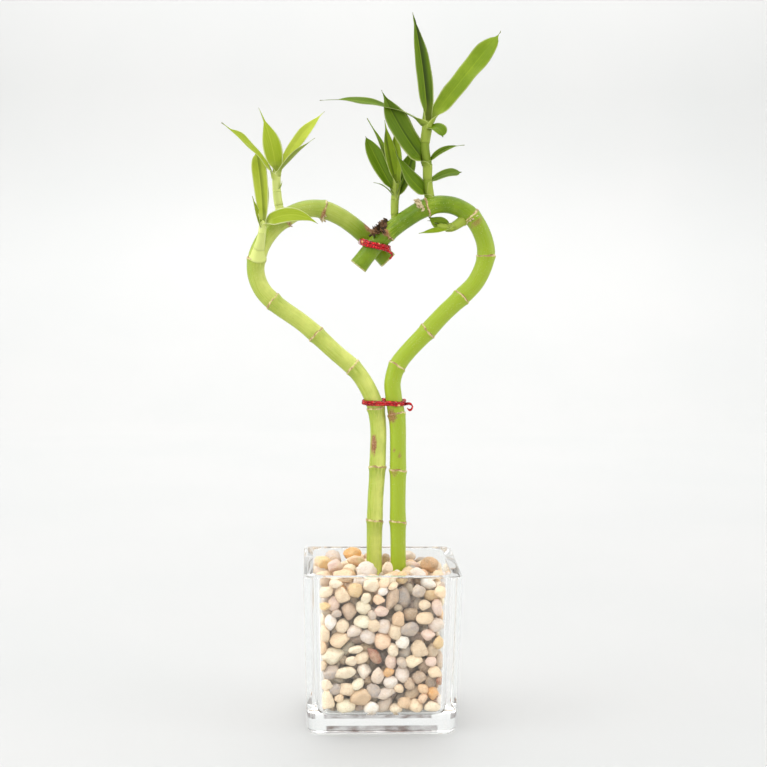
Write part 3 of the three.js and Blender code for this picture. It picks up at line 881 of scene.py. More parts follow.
class TreeKit:
    """The geometry node trees, each with named inputs."""

    solid = ("Geometry", "Geometry")

    def __init__(self) -> None:
        """Builds each tree once."""
        self.sweep = self._sweep()
        self.scatter = self._scatter()

    @staticmethod
    def _named(w: Wiring, name: str, kind: str = "FLOAT") -> NodeSocket:
        """Reads what each point carries."""
        return w.add("GeometryNodeInputNamedAttribute", {"Name": name}, data_type=kind).outputs[0]

    def _sweep(self) -> NodeTree:
        """Sweeps a flattened ring along a path whose points carry girth and turn."""
        ins = [self.solid, ("Sides", "Int"), ("Flatness", "Float"), ("Wobble", "Float"), ("Wobble Scale", "Float"),
               ("Material", "Material")]
        w, given, out = new_tree("Geometry", "sweep_along_path", ins, [self.solid])
        path = w.add("GeometryNodeMeshToCurve", {0: given["Geometry"]}).outputs[0]
        path = w.add("GeometryNodeSetCurveTilt", {"Curve": path, "Tilt": self._named(w, "turn")}).outputs[0]
        ring = w.add("GeometryNodeCurvePrimitiveCircle", {"Resolution": given["Sides"], "Radius": MM}).outputs[0]
        factor = w.add("GeometryNodeSplineParameter").outputs["Factor"]
        store = {"Geometry": ring, "Name": "around", "Value": factor}
        ring = w.add("GeometryNodeStoreNamedAttribute", store, data_type="FLOAT", domain="POINT").outputs[0]
        flat = w.add("ShaderNodeCombineXYZ", {0: 1.0, 1: given["Flatness"], 2: 1.0}).outputs[0]
        ring = w.add("GeometryNodeTransform", {"Geometry": ring, "Scale": flat}).outputs[0]
        sockets = {"Curve": path, "Profile Curve": ring, "Scale": self._named(w, "girth"), "Fill Caps": True}
        body = w.add("GeometryNodeCurveToMesh", sockets).outputs[0]
        where = w.add("GeometryNodeInputPosition").outputs[0]
        shake = w.add("ShaderNodeTexNoise", {"Vector": where, "Scale": given["Wobble Scale"], "Detail": 2.0}).outputs[0]
        push = w.times(w.math("SUBTRACT", shake, 0.5), given["Wobble"])
        normal = w.add("GeometryNodeInputNormal").outputs[0]
        shift = w.add("ShaderNodeVectorMath", {0: normal, "Scale": push}, operation="SCALE").outputs[0]
        body = w.add("GeometryNodeSetPosition", {"Geometry": body, "Offset": shift}).outputs[0]
        body = w.add("GeometryNodeSetShadeSmooth", {"Geometry": body}).outputs[0]
        return self._finish(w, body, given["Material"], out)

    def _scatter(self) -> NodeTree:
        """Puts one of several stones on each point, turned and sized as the point says."""
        ins = [self.solid, ("Stones", "Collection"), ("Material", "Material")]
        w, given, out = new_tree("Geometry", "stones_on_points", ins, [self.solid])
        stones = w.add("GeometryNodeCollectionInfo", {"Collection": given["Stones"], "Separate Children": True,
                                                      "Reset Children": True}).outputs[0]
        spin = w.add("FunctionNodeEulerToRotation", {0: self._named(w, "turn", "FLOAT_VECTOR")}).outputs[0]
        sockets = {"Points": given["Geometry"], "Instance": stones, "Pick Instance": True,
                   "Instance Index": self._named(w, "kind", "INT"), "Rotation": spin,
                   "Scale": self._named(w, "size", "FLOAT_VECTOR")}
        body = w.add("GeometryNodeInstanceOnPoints", sockets).outputs[0]
        return self._finish(w, body, given["Material"], out)

    @staticmethod
    def _finish(w: Wiring, body: Any, material: Any, out: Any) -> NodeTree:
        """Ends a tree: real geometry with its finish on."""
        body = w.add("GeometryNodeRealizeInstances", {"Geometry": body}).outputs[0]
        body = w.add("GeometryNodeSetMaterial", {"Geometry": body, "Material": material}).outputs[0]
        return w.close(out, Geometry=body)

    @staticmethod
    def grow(name: str, seed: Object, tree: NodeTree, **inputs: Any) -> Object:
        """Runs a tree on a seed object and keeps the result as a plain mesh.

        Args:
            name: Name of the new piece.
            seed: The object that the tree starts from. It is used up.
            tree: The tree.
            inputs: The tree's inputs, with _ for a space.

        Returns:
            The new piece.
        """
        modifier = seed.modifiers.new("grow", "NODES")
        modifier.node_group = tree
        for item in tree.interface.items_tree:
            if item.in_out == "INPUT" and item.name.replace(" ", "_") in inputs:
                modifier[item.identifier] = inputs[item.name.replace(" ", "_")]
        evaluated = seed.evaluated_get(bpy.context.evaluated_depsgraph_get())
        mesh = bpy.data.meshes.new_from_object(evaluated)
        mesh.name = name
        made = placed(name, mesh)
        if not mesh.materials:
            mesh.materials.append(inputs["Material"])
        seed.modifiers.remove(modifier)
        bpy.data.objects.remove(seed)
        return made


def seed_points(points: Rows, joined: bool, **values: Rows) -> Object:
    """Makes the points that a tree starts from.

    Args:
        points: Their places in millimetres.
        joined: Whether each is joined to the next, as a path is.
        values: What each point carries.

    Returns:
        The seed object.
    """
    mesh = bpy.data.meshes.new("seed")
    mesh.from_pydata((points * MM).tolist(), [(i, i + 1) for i in range(len(points) - 1)] if joined else [], [])
    return carry(placed("seed", mesh), **values)


# ---- vase


@dataclass
class GlassVase:
    """Square vase of thick clear glass, a little wider at the rim, with a heavy base."""

    rim_width: float = 102.0
    foot_width: float = 96.0
    height: float = 104.0
    wall: float = 7.0
    base: float = 12.0
    outer_corner: float = 7.0
    inner_corner: float = 9.0
    foot_round: float = 5.0
    floor_round: float = 4.0
    lip_round: float = 0.9
    per_corner: int = 10

    def outer_half(self, z: Any) -> Any:
        """Gives half the outer width at a height."""
        return mix(self.foot_width, self.rim_width, z / self.height) / 2

    def inner_half(self, z: Any) -> Any:
        """Gives half the inner width at a height."""
        return self.outer_half(z) - self.wall

    def build(self, finish: Material) -> Object:
        """Makes the vase.

        Args:
            finish: The glass.

        Returns:
            The piece.
        """
        rings = [self._ring(*row) for row in self._profile()]
        side = len(rings[0])
        shell = Shell()
        points = np.vstack([*rings, (0, 0, 0.0), (0, 0, self.base)])
        faces = grid_faces(len(rings), side, closed=True)
        last = (len(rings) - 1) * side
        under, floor = len(rings) * side, len(rings) * side + 1
        faces += [(under, (j + 1) % side, j) for j in range(side)]
        faces += [(last + j, last + (j + 1) % side, floor) for j in range(side)]
        shell.add(points, faces)
        vase = shell.piece("glass_vase", finish)
        outward(vase)
        return belongs(vase, "clear_glass", "vase")

    def _profile(self) -> list[Triple]:
        """Gives half width, corner radius and height of each level, up the outside and down the inside."""
        rows = [(self.outer_half(0) - self.foot_round - 6, 2.0, 0.0)]
        for a in np.radians(np.linspace(0, 90, 7)):
            inset, z = self.foot_round * (1 - math.sin(a)), self.foot_round * (1 - math.cos(a))
            rows.append((self.outer_half(z) - inset, max(self.outer_corner - inset, 1.5), z))
        rows += [(self.outer_half(z), self.outer_corner, z) for z in np.linspace(10, self.height - 2, 9)]
        lip = [(self.lip_round * (1 - math.cos(a)), self.height - self.lip_round * (1 - math.sin(a)))
               for a in np.radians(np.linspace(0, 90, 5))]
        rows += [(self.outer_half(z) - inset, self.outer_corner - inset, z) for inset, z in lip]
        rows += [(self.inner_half(z) + inset, self.inner_corner + inset, z) for inset, z in reversed(lip)]
        low = self.base + self.floor_round
        rows += [(self.inner_half(z), self.inner_corner, z) for z in np.linspace(self.height - 2, low + 2, 9)]
        for a in np.radians(np.linspace(0, 90, 6)):
            inset, z = self.floor_round * (1 - math.cos(a)), low - self.floor_round * math.sin(a)
            rows.append((self.inner_half(z) - inset, self.inner_corner - inset, z))
        rows.append((self.inner_half(self.base) - self.floor_round - 8, 2.0, self.base))
        return rows

    def _ring(self, half: float, corner: float, z: float) -> Rows:
        """Gives one level's rounded square.

        Args:
            half: Half its width.
            corner: Its corner radius.
            z: Its height.

        Returns:
            Its points, turning left from the right side.
        """
        points = []
        for quarter in range(4):
            a = quarter * math.pi / 2
            cx = (half - corner) * (math.cos(a) - math.sin(a))
            cy = (half - corner) * (math.sin(a) + math.cos(a))
            for step in range(self.per_corner + 1):
                b = a + step / self.per_corner * math.pi / 2
                points.append((cx + corner * math.cos(b), cy + corner * math.sin(b), z))
        return np.array(points)


# ---- pebbles


class Stone(Enum):
    """Tints of the stones in the vase, and how common each is."""

    WHITE = 0xFFF6EE, 7
    CREAM = 0xFFEDD2, 19
    BEIGE = 0xF6DCBA, 19
    SILVER = 0xEADCD4, 11
    GREY = 0xCCBAAC, 7
    SLATE = 0xAEA29E, 3
    TAUPE = 0xC0A48C, 6
    TAN = 0xEAC49A, 8
    PEACH = 0xFFD6B2, 6
    ROSE = 0xF4D4C6, 6
    HONEY = 0xF2CC8C, 4
    OCHRE = 0xE2A452, 2
    RUST = 0xA25A38, 1


# Stones against the front glass: x, z, half width, half height, turn in degrees, tint.
FRONT_STONES = [
    (-17.7, 94.0, 4.9, 4.9, 0, Stone.HONEY), (-25.9, 91.2, 4.9, 5.4, 10, Stone.BEIGE),
    (-7.2, 97.2, 5.4, 4.5, 0, Stone.CREAM), (6.2, 88.4, 4.3, 7.9, -22, Stone.TAUPE),
    (23.1, 93.5, 4.5, 4.5, 0, Stone.GREY), (37.6, 93.0, 4.7, 4.0, 0, Stone.PEACH),
    (26.9, 84.2, 4.0, 3.6, 0, Stone.BEIGE), (27.0, 75.7, 5.8, 4.3, 5, Stone.BEIGE),
    (-2.6, 88.4, 3.8, 3.4, 20, Stone.PEACH), (-10.8, 88.9, 3.1, 4.0, -20, Stone.CREAM),
    (-21.3, 80.0, 5.2, 5.8, 0, Stone.TAUPE), (-0.7, 80.5, 4.9, 3.8, 0, Stone.ROSE),
    (-12.3, 73.5, 6.3, 4.3, 5, Stone.CREAM), (-33.2, 73.0, 4.0, 5.4, 10, Stone.WHITE),
    (0.8, 70.2, 4.7, 4.9, 0, Stone.SILVER), (10.4, 75.3, 4.5, 4.9, -20, Stone.TAN),
    (17.4, 68.3, 6.3, 4.9, 10, Stone.SLATE), (29.4, 64.7, 4.7, 3.8, 0, Stone.ROSE),
    (36.6, 59.8, 3.8, 4.7, -20, Stone.HONEY), (-9.0, 63.6, 5.4, 4.9, 0, Stone.SILVER),
    (-27.1, 61.3, 6.7, 5.2, 20, Stone.BEIGE), (12.9, 59.8, 4.5, 4.3, 0, Stone.WHITE),
    (24.0, 55.6, 5.8, 5.8, 0, Stone.BEIGE), (-17.0, 55.4, 4.9, 2.7, 10, Stone.CREAM),
    (-32.1, 50.6, 8.3, 5.8, 15, Stone.CREAM), (-5.0, 51.4, 3.4, 6.7, 35, Stone.RUST),
    (5.6, 47.2, 3.8, 5.2, -10, Stone.ROSE), (20.4, 47.1, 6.0, 4.3, 10, Stone.CREAM),
    (31.4, 47.1, 3.8, 3.4, 0, Stone.ROSE), (34.3, 40.5, 4.9, 4.0, 0, Stone.BEIGE),
    (-23.8, 39.8, 7.4, 4.0, 8, Stone.CREAM), (-11.4, 40.7, 4.7, 5.2, 0, Stone.WHITE),
    (-2.6, 37.8, 4.3, 5.8, -15, Stone.SILVER), (13.1, 38.7, 4.7, 5.6, 0, Stone.SILVER),
    (24.2, 36.3, 4.5, 4.5, 0, Stone.TAUPE), (-22.8, 28.9, 5.8, 4.3, 0, Stone.BEIGE),
    (-35.6, 32.3, 4.5, 3.6, 0, Stone.CREAM), (-13.5, 23.3, 7.2, 5.8, 10, Stone.TAN),
    (33.1, 25.9, 4.5, 4.5, 0, Stone.OCHRE), (33.2, 17.2, 6.0, 4.0, 0, Stone.CREAM),
    (22.1, 17.6, 4.5, 4.9, 10, Stone.BEIGE), (2.6, 26.0, 6.7, 3.8, 15, Stone.SILVER),
    (14.6, 19.8, 4.5, 4.0, 0, Stone.TAN), (-35.0, 22.4, 4.9, 6.7, 0, Stone.CREAM),
    (-19.7, 47.7, 4.0, 3.4, 0, Stone.CREAM), (-37.3, 83.8, 4.5, 2.7, 0, Stone.HONEY),
    (-36.5, 93.2, 5.0, 4.0, 20, Stone.CREAM),
]

# Loose stones on top, one solid each: name, centre, half sizes, turn about Z, tint, slot.
LOOSE_STONES = [
    ("white", (-10.5, -22, 101), (6.6, 5.6, 7.6), 20, Stone.WHITE, "pebble_pale"),
    ("orange", (-18, 31, 103), (6.4, 5.2, 4.6), 12, Stone.OCHRE, "pebble_warm"),
    ("pink", (-30.5, -6, 102), (5.4, 5, 4.6), 50, Stone.ROSE, "pebble_pale"),
    ("brown", (32.5, -3, 102.6), (6.2, 5.6, 5.3), 0, Stone.TAN, "pebble_dark"),
    ("cream", (4.2, -12.6, 101.5), (3.7, 3.2, 4.8), 0, Stone.CREAM, "pebble_pale"),
    ("grey", (4, 11.5, 102.5), (3, 2.8, 4.4), 10, Stone.TAUPE, "pebble_dark"),
    ("chalk", (23.5, -25, 100.8), (5.4, 4.4, 4), 25, Stone.WHITE, "pebble_pale"),
    ("ochre", (-37, 8.5, 101.5), (4.6, 5.2, 4.2), 5, Stone.HONEY, "pebble_warm"),
    ("sand", (-25, -29, 100.6), (6.4, 4.8, 4), -20, Stone.BEIGE, "pebble_mix"),
    ("peach", (-15.5, 8, 102.6), (6.6, 4.4, 3.8), 35, Stone.PEACH, "pebble_warm"),
    ("pearl", (20.5, 24, 102.2), (5, 4.6, 4), -10, Stone.SILVER, "pebble_pale"),
    ("honey", (12.5, -32, 100.4), (4.8, 4, 3.8), 70, Stone.HONEY, "pebble_warm"),
]


@dataclass
class PebbleFill:
    """Stones that fill the vase: small ones settled round a core, and larger ones loose on top."""

    vase: GlassVase
    stems: Sequence[Triple] = ((-4.3, 1.0, 5.9), (11.8, -1.0, 5.9))
    seed: int = 11
    count: int = 700
    smallest: float = 2.5
    largest: float = 6.3
    shell: float = 17.0
    top: float = 98.5
    core_top: float = 82.0
    # The core's painted shade colour, seen in the gaps between the stones.
    core_tint: int = 0x6E5A44
    forms: int = 7
    settle_steps: int = 110
    clear: float = 0.15
    # Share of painted shade on stones deep in the bed.
    painted_gap_shade: float = 0.6

    def build(self, trees: TreeKit, finishes: dict[str, Material]) -> None:
        """Makes all the stones.

        Args:
            trees: The geometry node trees.
            finishes: The stone finish of each slot.
        """
        self._bed(trees, finishes["pebble_mix"])
        self._core(finishes["pebble_mix"])
        for number, row in enumerate(LOOSE_STONES):
            self._loose(number, row, finishes)

    def lump(self, number: int, detail: int) -> tuple[Rows, list[tuple[int, ...]]]:
        """Makes one smooth stone of half size one.

        Args:
            number: Which stone.
            detail: How finely it is faced.

        Returns:
            Its points and faces.
        """
        work = bmesh.new()
        bmesh.ops.create_icosphere(work, subdivisions=detail, radius=1.0)
        points = np.array([v.co[:] for v in work.verts])
        faces = [tuple(v.index for v in f.verts) for f in work.faces]
        work.free()
        swell = 0.16 * grain_noise(points, 0.9, number * 3.1) + 0.05 * grain_noise(points, 0.45, number * 1.3 + 9)
        points = points * (1 + swell)[:, None]
        rng = np.random.default_rng(number)
        for way in unit(rng.normal(0, 1, (8, 3))):
            over = np.maximum(points @ way - rng.uniform(0.62, 0.88), 0)
            points = points - np.outer(0.85 * over, way)
        low, high = points.min(axis=0), points.max(axis=0)
        return (points - (low + high) / 2) / ((high - low) / 2), faces

    def _bed(self, trees: TreeKit, finish: Material) -> None:
        """Packs the small stones and makes them one piece.

        Args:
            trees: The geometry node trees.
            finish: The stone finish.
        """
        centres, sizes, turns, tints = self._packed()
        forms = bpy.data.collections.new("stone_forms")
        for number in range(2 * self.forms):
            shell = Shell()
            shell.add(*self.lump(number, 2 if number < self.forms else 3))
            form = shell.piece(f"stone_form_{number:02d}", finish)
            bpy.context.scene.collection.objects.unlink(form)
            forms.objects.link(form)
        seed = seed_points(centres, False, turn=turns, size=sizes, tint=tints)
        kinds = seed.data.attributes.new("kind", "INT", "POINT")
        held = len(FRONT_STONES)
        kinds.data.foreach_set("value", [i % self.forms + (self.forms if i < held else 0) for i in range(len(centres))])
        bed = trees.grow("settled_pebbles", seed, trees.scatter, Stones=forms, Material=finish)
        for form in list(forms.objects):
            bpy.data.objects.remove(form)
        bpy.data.collections.remove(forms)
        put(bed, self._held_in(places(bed)))
        bed.data.shade_smooth()
        belongs(bed, "pebble_mix", "pebble_bed")

    def _held_in(self, points: Rows) -> Rows:
        """Presses points that would reach into the glass flat against it."""
        kept = points.copy()
        limit = self.vase.inner_half(kept[:, 2]) - self.clear
        for axis in (0, 1):
            kept[:, axis] = np.clip(kept[:, axis], -limit, limit)
        corner = self.vase.inner_corner
        inner = (limit - corner)[:, None]
        out = np.abs(kept[:, :2]) - inner
        far = np.linalg.norm(np.maximum(out, 0), axis=1)
        both = (out > 0).all(axis=1) & (far > corner)
        pulled = np.sign(kept[:, :2]) * (inner + out * (corner / np.maximum(far, 1e-6))[:, None])
        kept[both, :2] = pulled[both]
        kept[:, 2] = np.maximum(kept[:, 2], self.vase.base + self.clear)
        return kept

    def _packed(self) -> tuple[Rows, Rows, Rows, Rows]:
        """Settles the stones: each is pushed off its neighbours, the glass, the core and the stalks.

        Returns:
            Centres, half sizes, turns and tints.
        """
        rng = np.random.default_rng(self.seed)
        held = []
        for x, z, wide, high, turn, tint in FRONT_STONES:
            deep = 0.74 * min(wide, high)
            y = -(self.vase.inner_half(z) - deep - self.clear)
            held.append((x, y, z, wide, high, deep, turn, tint))
        fixed = np.array([row[:3] for row in held] + [row[1] for row in LOOSE_STONES], dtype=float)
        fixed_r = np.array([np.mean(row[3:6]) for row in held] + [np.mean(row[2]) for row in LOOSE_STONES])
        radii = rng.triangular(self.smallest, 4.0, self.largest, self.count)
        loose = self._first_places(rng)
        for step in range(self.settle_steps):
            loose = self._push(loose, radii, fixed, fixed_r, 0.6 if step < 80 else 0.35)
            loose = self._bounded(loose, radii, rng)
        stretch = np.stack([rng.uniform(1.06, 1.34, self.count), rng.uniform(0.92, 1.08, self.count),
                            rng.uniform(0.74, 0.92, self.count)], axis=1)
        sizes = radii[:, None] * stretch
        turns = np.array([self._lying(p, rng) for p in loose])
        share = np.array([stone.value[1] for stone in Stone], dtype=float)
        picks = rng.choice(len(share), self.count, p=share / share.sum())
        tints = np.array([self._tint(list(Stone)[pick], rng) for pick in picks])
        # Painted shade: stones behind the front layer and below the top are darkened, for the shade between them.
        behind = self.vase.inner_half(loose[:, 2]) - np.abs(loose[:, :2]).max(axis=1) - radii
        under = np.clip((self.top - 6 - loose[:, 2]) / 6, 0, 1)
        tints[:, :3] *= (1 - self.painted_gap_shade * under * np.clip(behind / 3, 0, 1))[:, None]
        held_sizes = np.array([row[3:6] for row in held])
        held_turns = np.array([self._facing_front(row[6]) for row in held])
        held_tints = np.array([self._tint(row[7], rng) for row in held])
        return (np.vstack([fixed[:len(held)], loose]), np.vstack([held_sizes, sizes]),
                np.vstack([held_turns, turns]), np.vstack([held_tints, tints]))

    def _first_places(self, rng: np.random.Generator) -> Rows:
        """Scatters the stones through the space round the core."""
        found = []
        while len(found) < self.count:
            x, y = rng.uniform(-43, 43, 2)
            z = rng.uniform(self.vase.base + 3, self.top)
            in_core = max(abs(x), abs(y)) < self.vase.inner_half(z) - self.shell and z < self.core_top
            if not in_core:
                found.append((x, y, z))
        return np.array(found)

    def _push(self, loose: Rows, radii: Rows, fixed: Rows, fixed_r: Rows, rate: float) -> Rows:
        """Moves overlapping stones apart by part of their overlap.

        Args:
            loose: Centres of the stones that may move.
            radii: Their radii.
            fixed: Centres of the stones that stay.
            fixed_r: Their radii.
            rate: Part of each overlap that is undone.

        Returns:
            The new centres.
        """
        everyone = np.vstack([loose, fixed])
        reach = np.concatenate([radii, fixed_r])
        between = loose[:, None, :] - everyone[None, :, :]
        far = np.linalg.norm(between, axis=2)
        overlap = 0.97 * (radii[:, None] + reach[None, :]) - far
        np.fill_diagonal(overlap, 0)
        overlap = np.maximum(overlap, 0)
        give = np.where(np.arange(len(everyone)) < len(loose), 0.5, 1.0)[None, :]
        push = (between / np.maximum(far, 0.05)[..., None]) * (overlap * give)[..., None]
        return loose + rate * push.sum(axis=1)

    def _bounded(self, loose: Rows, radii: Rows, rng: np.random.Generator) -> Rows:
        """Keeps stones inside the glass, off the core and off the stalks.

        Args:
            loose: Centres.
            radii: Their radii.
            rng: For the least shake, so that no two stay on one line.

        Returns:
            The new centres.
        """
        moved = loose + rng.normal(0, 0.03, loose.shape)
        depth = 0.8 * radii + self.clear
        moved[:, 2] = np.clip(moved[:, 2], self.vase.base + depth, self.top)
        limit = self.vase.inner_half(moved[:, 2]) - depth
        for axis in (0, 1):
            moved[:, axis] = np.clip(moved[:, axis], -limit, limit)
        core = self.vase.inner_half(moved[:, 2]) - self.shell
        inside = (np.abs(moved[:, :2]).max(axis=1) < core) & (moved[:, 2] < self.core_top)
        for axis in (0, 1):
            wide = inside & (np.abs(moved[:, axis]) >= np.abs(moved[:, 1 - axis]))
            moved[wide, axis] = np.sign(moved[wide, axis]) * core[wide]
        for x, y, radius in self.stems:
            off = moved[:, :2] - (x, y)
            far = np.linalg.norm(off, axis=1)
            near = far < radius + radii
            moved[near, :2] = np.array([x, y]) + off[near] / far[near, None] * (radius + radii[near])[:, None]
        return moved

    def _lying(self, place: Rows, rng: np.random.Generator) -> Triple:
        """Turns a stone so that its flat side lies on the nearest glass, or level near the top.

        Args:
            place: Its centre.
            rng: For its turn in that plane.

        Returns:
            Its turn as three angles.
        """
        walls = {(1, 0): place[0], (-1, 0): -place[0], (0, 1): place[1], (0, -1): -place[1]}
        way = max(walls, key=walls.get)
        normal = Vector((way[0], way[1], 0.0)) if place[2] < self.top - 6 else Vector((0, 0, 1))
        normal = (normal + Vector(rng.normal(0, 0.22, 3))).normalized()
        turn = normal.to_track_quat("Z", "Y").to_matrix() @ Matrix.Rotation(rng.uniform(0, math.tau), 3, "Z")
        return tuple(turn.to_euler())

    @staticmethod
    def _facing_front(turn: float) -> Triple:
        """Stands a stone's flat side against the front glass, turned by some degrees in it."""
        stand = Matrix(((1, 0, 0), (0, 0, -1), (0, 1, 0)))
        return tuple((Matrix.Rotation(-math.radians(turn), 3, "Y") @ stand).to_euler())

    @staticmethod
    def _tint(name: Stone, rng: np.random.Generator) -> Rgba:
        """Varies a tint a little."""
        warm = abs(rng.normal(0, 0.03))
        colour = np.array(paint(name.value[0])[:3]) * rng.uniform(0.84, 1.08) * (1.0, 1 - warm, 1 - 2.4 * warm)
        red, green, blue = np.clip(colour, 0.02, 0.97)
        return red, green, blue, 1.0

    def _core(self, finish: Material) -> None:
        """Makes the close-packed middle that shows only between the stones, tinted dark as painted shade.

        Args:
            finish: The stone finish.
        """
        work = bmesh.new()
        bmesh.ops.create_cube(work, size=1.0)
        bmesh.ops.subdivide_edges(work, edges=work.edges, cuts=11, use_grid_fill=True)
        half = self.vase.inner_half(50.0) - self.shell + 1.5
        high = self.core_top - self.vase.base - 2
        points = np.array([v.co[:] for v in work.verts]) * (2 * half, 2 * half, high)
        points += (0, 0, self.vase.base + 2 + high / 2)
        way = unit(points * (1, 1, 0.4) - (0, 0, 20.0))
        points = points + way * (1.6 * grain_noise(points, 6.0, 4.0))[:, None]
        shell = Shell()
        shell.add(points, [tuple(v.index for v in f.verts) for f in work.faces],
                  tint=np.tile(paint(self.core_tint), (len(points), 1)))
        work.free()
        core = shell.piece("pebble_core", finish)
        outward(core)
        belongs(core, "pebble_mix", "pebble_bed")

    def _loose(self, number: int, row: tuple, finishes: dict[str, Material]) -> None:
        """Makes one of the stones on top.

        Args:
            number: Which form it takes.
            row: Its line in the table.
            finishes: The stone finish of each slot.
        """
        name, at, half, turn, tint, slot = row
        points, faces = self.lump(number + 20, 4)
        spin = np.array(Matrix.Rotation(math.radians(turn), 3, "Z"))
        points = (points * half) @ spin.T + at
        tints = np.tile(self._tint(tint, np.random.default_rng(number)), (len(points), 1))
        shell = Shell()
        shell.add(points, faces, tint=tints)
        belongs(shell.piece(f"loose_pebble_{name}", finishes[slot]), slot, f"pebble_{name}")


# ---- stalks


@dataclass(frozen=True)
class Scar:
    """A healed mark on a stalk's skin: place on its front, half length along, half width across, strength."""

    at: tuple[float, float]
    along: float
    across: float
    strength: float = 1.0


@dataclass
class BambooStalk:
    """One jointed stalk, bent by hand, with a raised ring at each node and a sawn end."""

    name: str
    node: str
    slot: str
    points: Sequence[Sequence[float]]
    nodes: Sequence[float]
    # Painted shade along the stalk: distance along, and how much of the deep colour shows.
    depth: Sequence[tuple[float, float]]
    scars: Sequence[Scar]
    seed: int
    sides: int = 40
    waist: tuple[float, float] = (4.85, 5.75)
    swell: float = 0.35
    lip: float = 0.5

    def __post_init__(self) -> None:
        """Lays the stalk's path."""
        self.route = Route(self.points)

    def girth(self, s: Any) -> Any:
        """Gives the radius without the rings at a distance along."""
        edges = np.array([0.0, *self.nodes, self.route.length])
        cell = np.clip(np.searchsorted(edges, s, side="right") - 1, 0, len(edges) - 2)
        share = (s - edges[cell]) / (edges[cell + 1] - edges[cell])
        taper = mix(*self.waist, np.minimum(1.0, 1.5 * s / self.route.length))
        return taper + self.swell * np.abs(2 * share - 1) ** 3

    def build(self, trees: TreeKit, finish: Material, cut: Material) -> Object:
        """Makes the stalk.

        Args:
            trees: The geometry node trees.
            finish: The skin.
            cut: The sawn end.

        Returns:
            The piece.
        """
        s = self._stations()
        seed = seed_points(self.route.at(s), True, girth=self.girth(s), along=s, turn=np.zeros(len(s)),
                           centre=self.route.at(s))
        stalk = trees.grow(self.name, seed, trees.sweep, Sides=self.sides, Flatness=1.0, Wobble=0.0,
                           Wobble_Scale=1.0, Material=finish)
        self._shape(stalk)
        stalk.data.materials.append(cut)
        for face in stalk.data.polygons:
            if len(face.vertices) > 4:
                face.material_index = 1
        self._open_ends(stalk)
        outward(stalk)
        return belongs(stalk, self.slot, self.node)

    def _stations(self) -> Rows:
        """Gives the distances along at which the sweep has a ring, closer together at the nodes."""
        rows = set(np.round(np.arange(0.0, self.route.length, 1.8), 3))
        for node in self.nodes:
            rows.update(np.round(node + np.arange(-3.6, 3.0, 0.3), 3))
        kept = sorted(r for r in rows if 0.5 < r < self.route.length - 0.5)
        return np.array([0.0] + kept + [self.route.length])

    def _shape(self, stalk: Object) -> None:
        """Gives the swept tube its wavy rings and uneven girth, and stores what the finish reads.

        Args:
            stalk: The swept piece.
        """
        around = carried(stalk, "around") * math.tau
        s = carried(stalk, "along")
        points = places(stalk)
        centre = carried(stalk, "centre", 3)
        radial = points - centre
        radius = np.linalg.norm(radial, axis=1)
        rng = np.random.default_rng(self.seed)
        gap = np.full(len(s), 999.0)
        for node in self.nodes:
            phase = rng.uniform(0, math.tau, 3)
            wave = 0.55 * np.sin(around + phase[0]) + 0.3 * np.sin(2 * around + phase[1])
            wave = wave + 0.14 * np.sin(5 * around + phase[2])
            off = s - node - wave
            gap = np.where(np.abs(off) < np.abs(gap), off, gap)
        rise = np.where(gap < 0, np.exp(-(gap / 1.9) ** 2), np.exp(-(gap / 0.45) ** 2))
        ring = self.lip * rise * np.where(np.abs(gap) < 6, 1.0, 0.0)
        groove = 0.16 * np.exp(-((gap - 1.2) / 0.7) ** 2)
        skin = np.stack([np.cos(around) * radius, np.sin(around) * radius, s], axis=1)
        uneven = 0.1 * grain_noise(skin * (1, 1, 0.35), 5.0, self.seed)
        points = centre + radial * ((radius + ring - groove + uneven) / radius)[:, None]
        put(stalk, points)
        facing = unit(radial)
        scar = np.max([self._mask(mark, points, facing) for mark in self.scars], axis=0)
        # side steers the painted light and shade: lighter where the skin faces right and front. depth is the painted
        # shade along the stalk.
        carry(stalk, skin=skin, node_gap=gap, node_near=np.abs(gap), end_near=self.route.length - s,
              side=facing[:, 0] * 0.8 - facing[:, 1] * 0.2, depth=np.interp(s, *zip(*self.depth)),
              tone=np.ones(len(s)), scar=scar)

    def _mask(self, mark: Scar, points: Rows, facing: Rows) -> Rows:
        """Gives how much of a scar each point has.

        Args:
            mark: The scar.
            points: The skin's points.
            facing: The skin's directions.

        Returns:
            Values from 0 to 1.
        """
        x, z = mark.at
        nearest = self.route.table[np.argmin(np.hypot(self.route.table[:, 0] - x, self.route.table[:, 2] - z))]
        s = self.route.reach[np.argmin(np.linalg.norm(self.route.table - nearest, axis=1))]
        way = self.route.heading(s)
        way = unit(np.array([way[0], 0.0, way[2]]))
        off = points - (x, 0.0, z)
        along = off[:, 0] * way[0] + off[:, 2] * way[2]
        across = off[:, 0] * way[2] - off[:, 2] * way[0]
        ragged = 1 + 0.45 * grain_noise(points, 1.3, self.seed + 5)
        reach = np.sqrt((along / mark.along) ** 2 + (across / mark.across) ** 2) * ragged
        return mark.strength * (1 - ease((reach - 0.65) / 0.5)) * (facing[:, 1] < 0.1)

    @staticmethod
    def _open_ends(stalk: Object) -> None:
        """Bevels both sawn ends and gives them a rim and a middle."""
        work = bmesh.new()
        work.from_mesh(stalk.data)
        tone = work.verts.layers.float.get("tone")
        ends = [f for f in work.faces if f.material_index == 1]
        for end in ends:
            for share in (0.12, 0.25, 0.35):
                inset = bmesh.ops.inset_region(work, faces=[end], thickness=share * 2.4 * MM,
                                               depth=(0.25 if share == 0.12 else 0.0) * MM)
                for face in inset["faces"]:
                    face.material_index = 1
                for vert in end.verts:
                    vert[tone] = 1.0 - 2 * share
            bmesh.ops.poke(work, faces=[end])
        work.to_mesh(stalk.data)
        work.free()


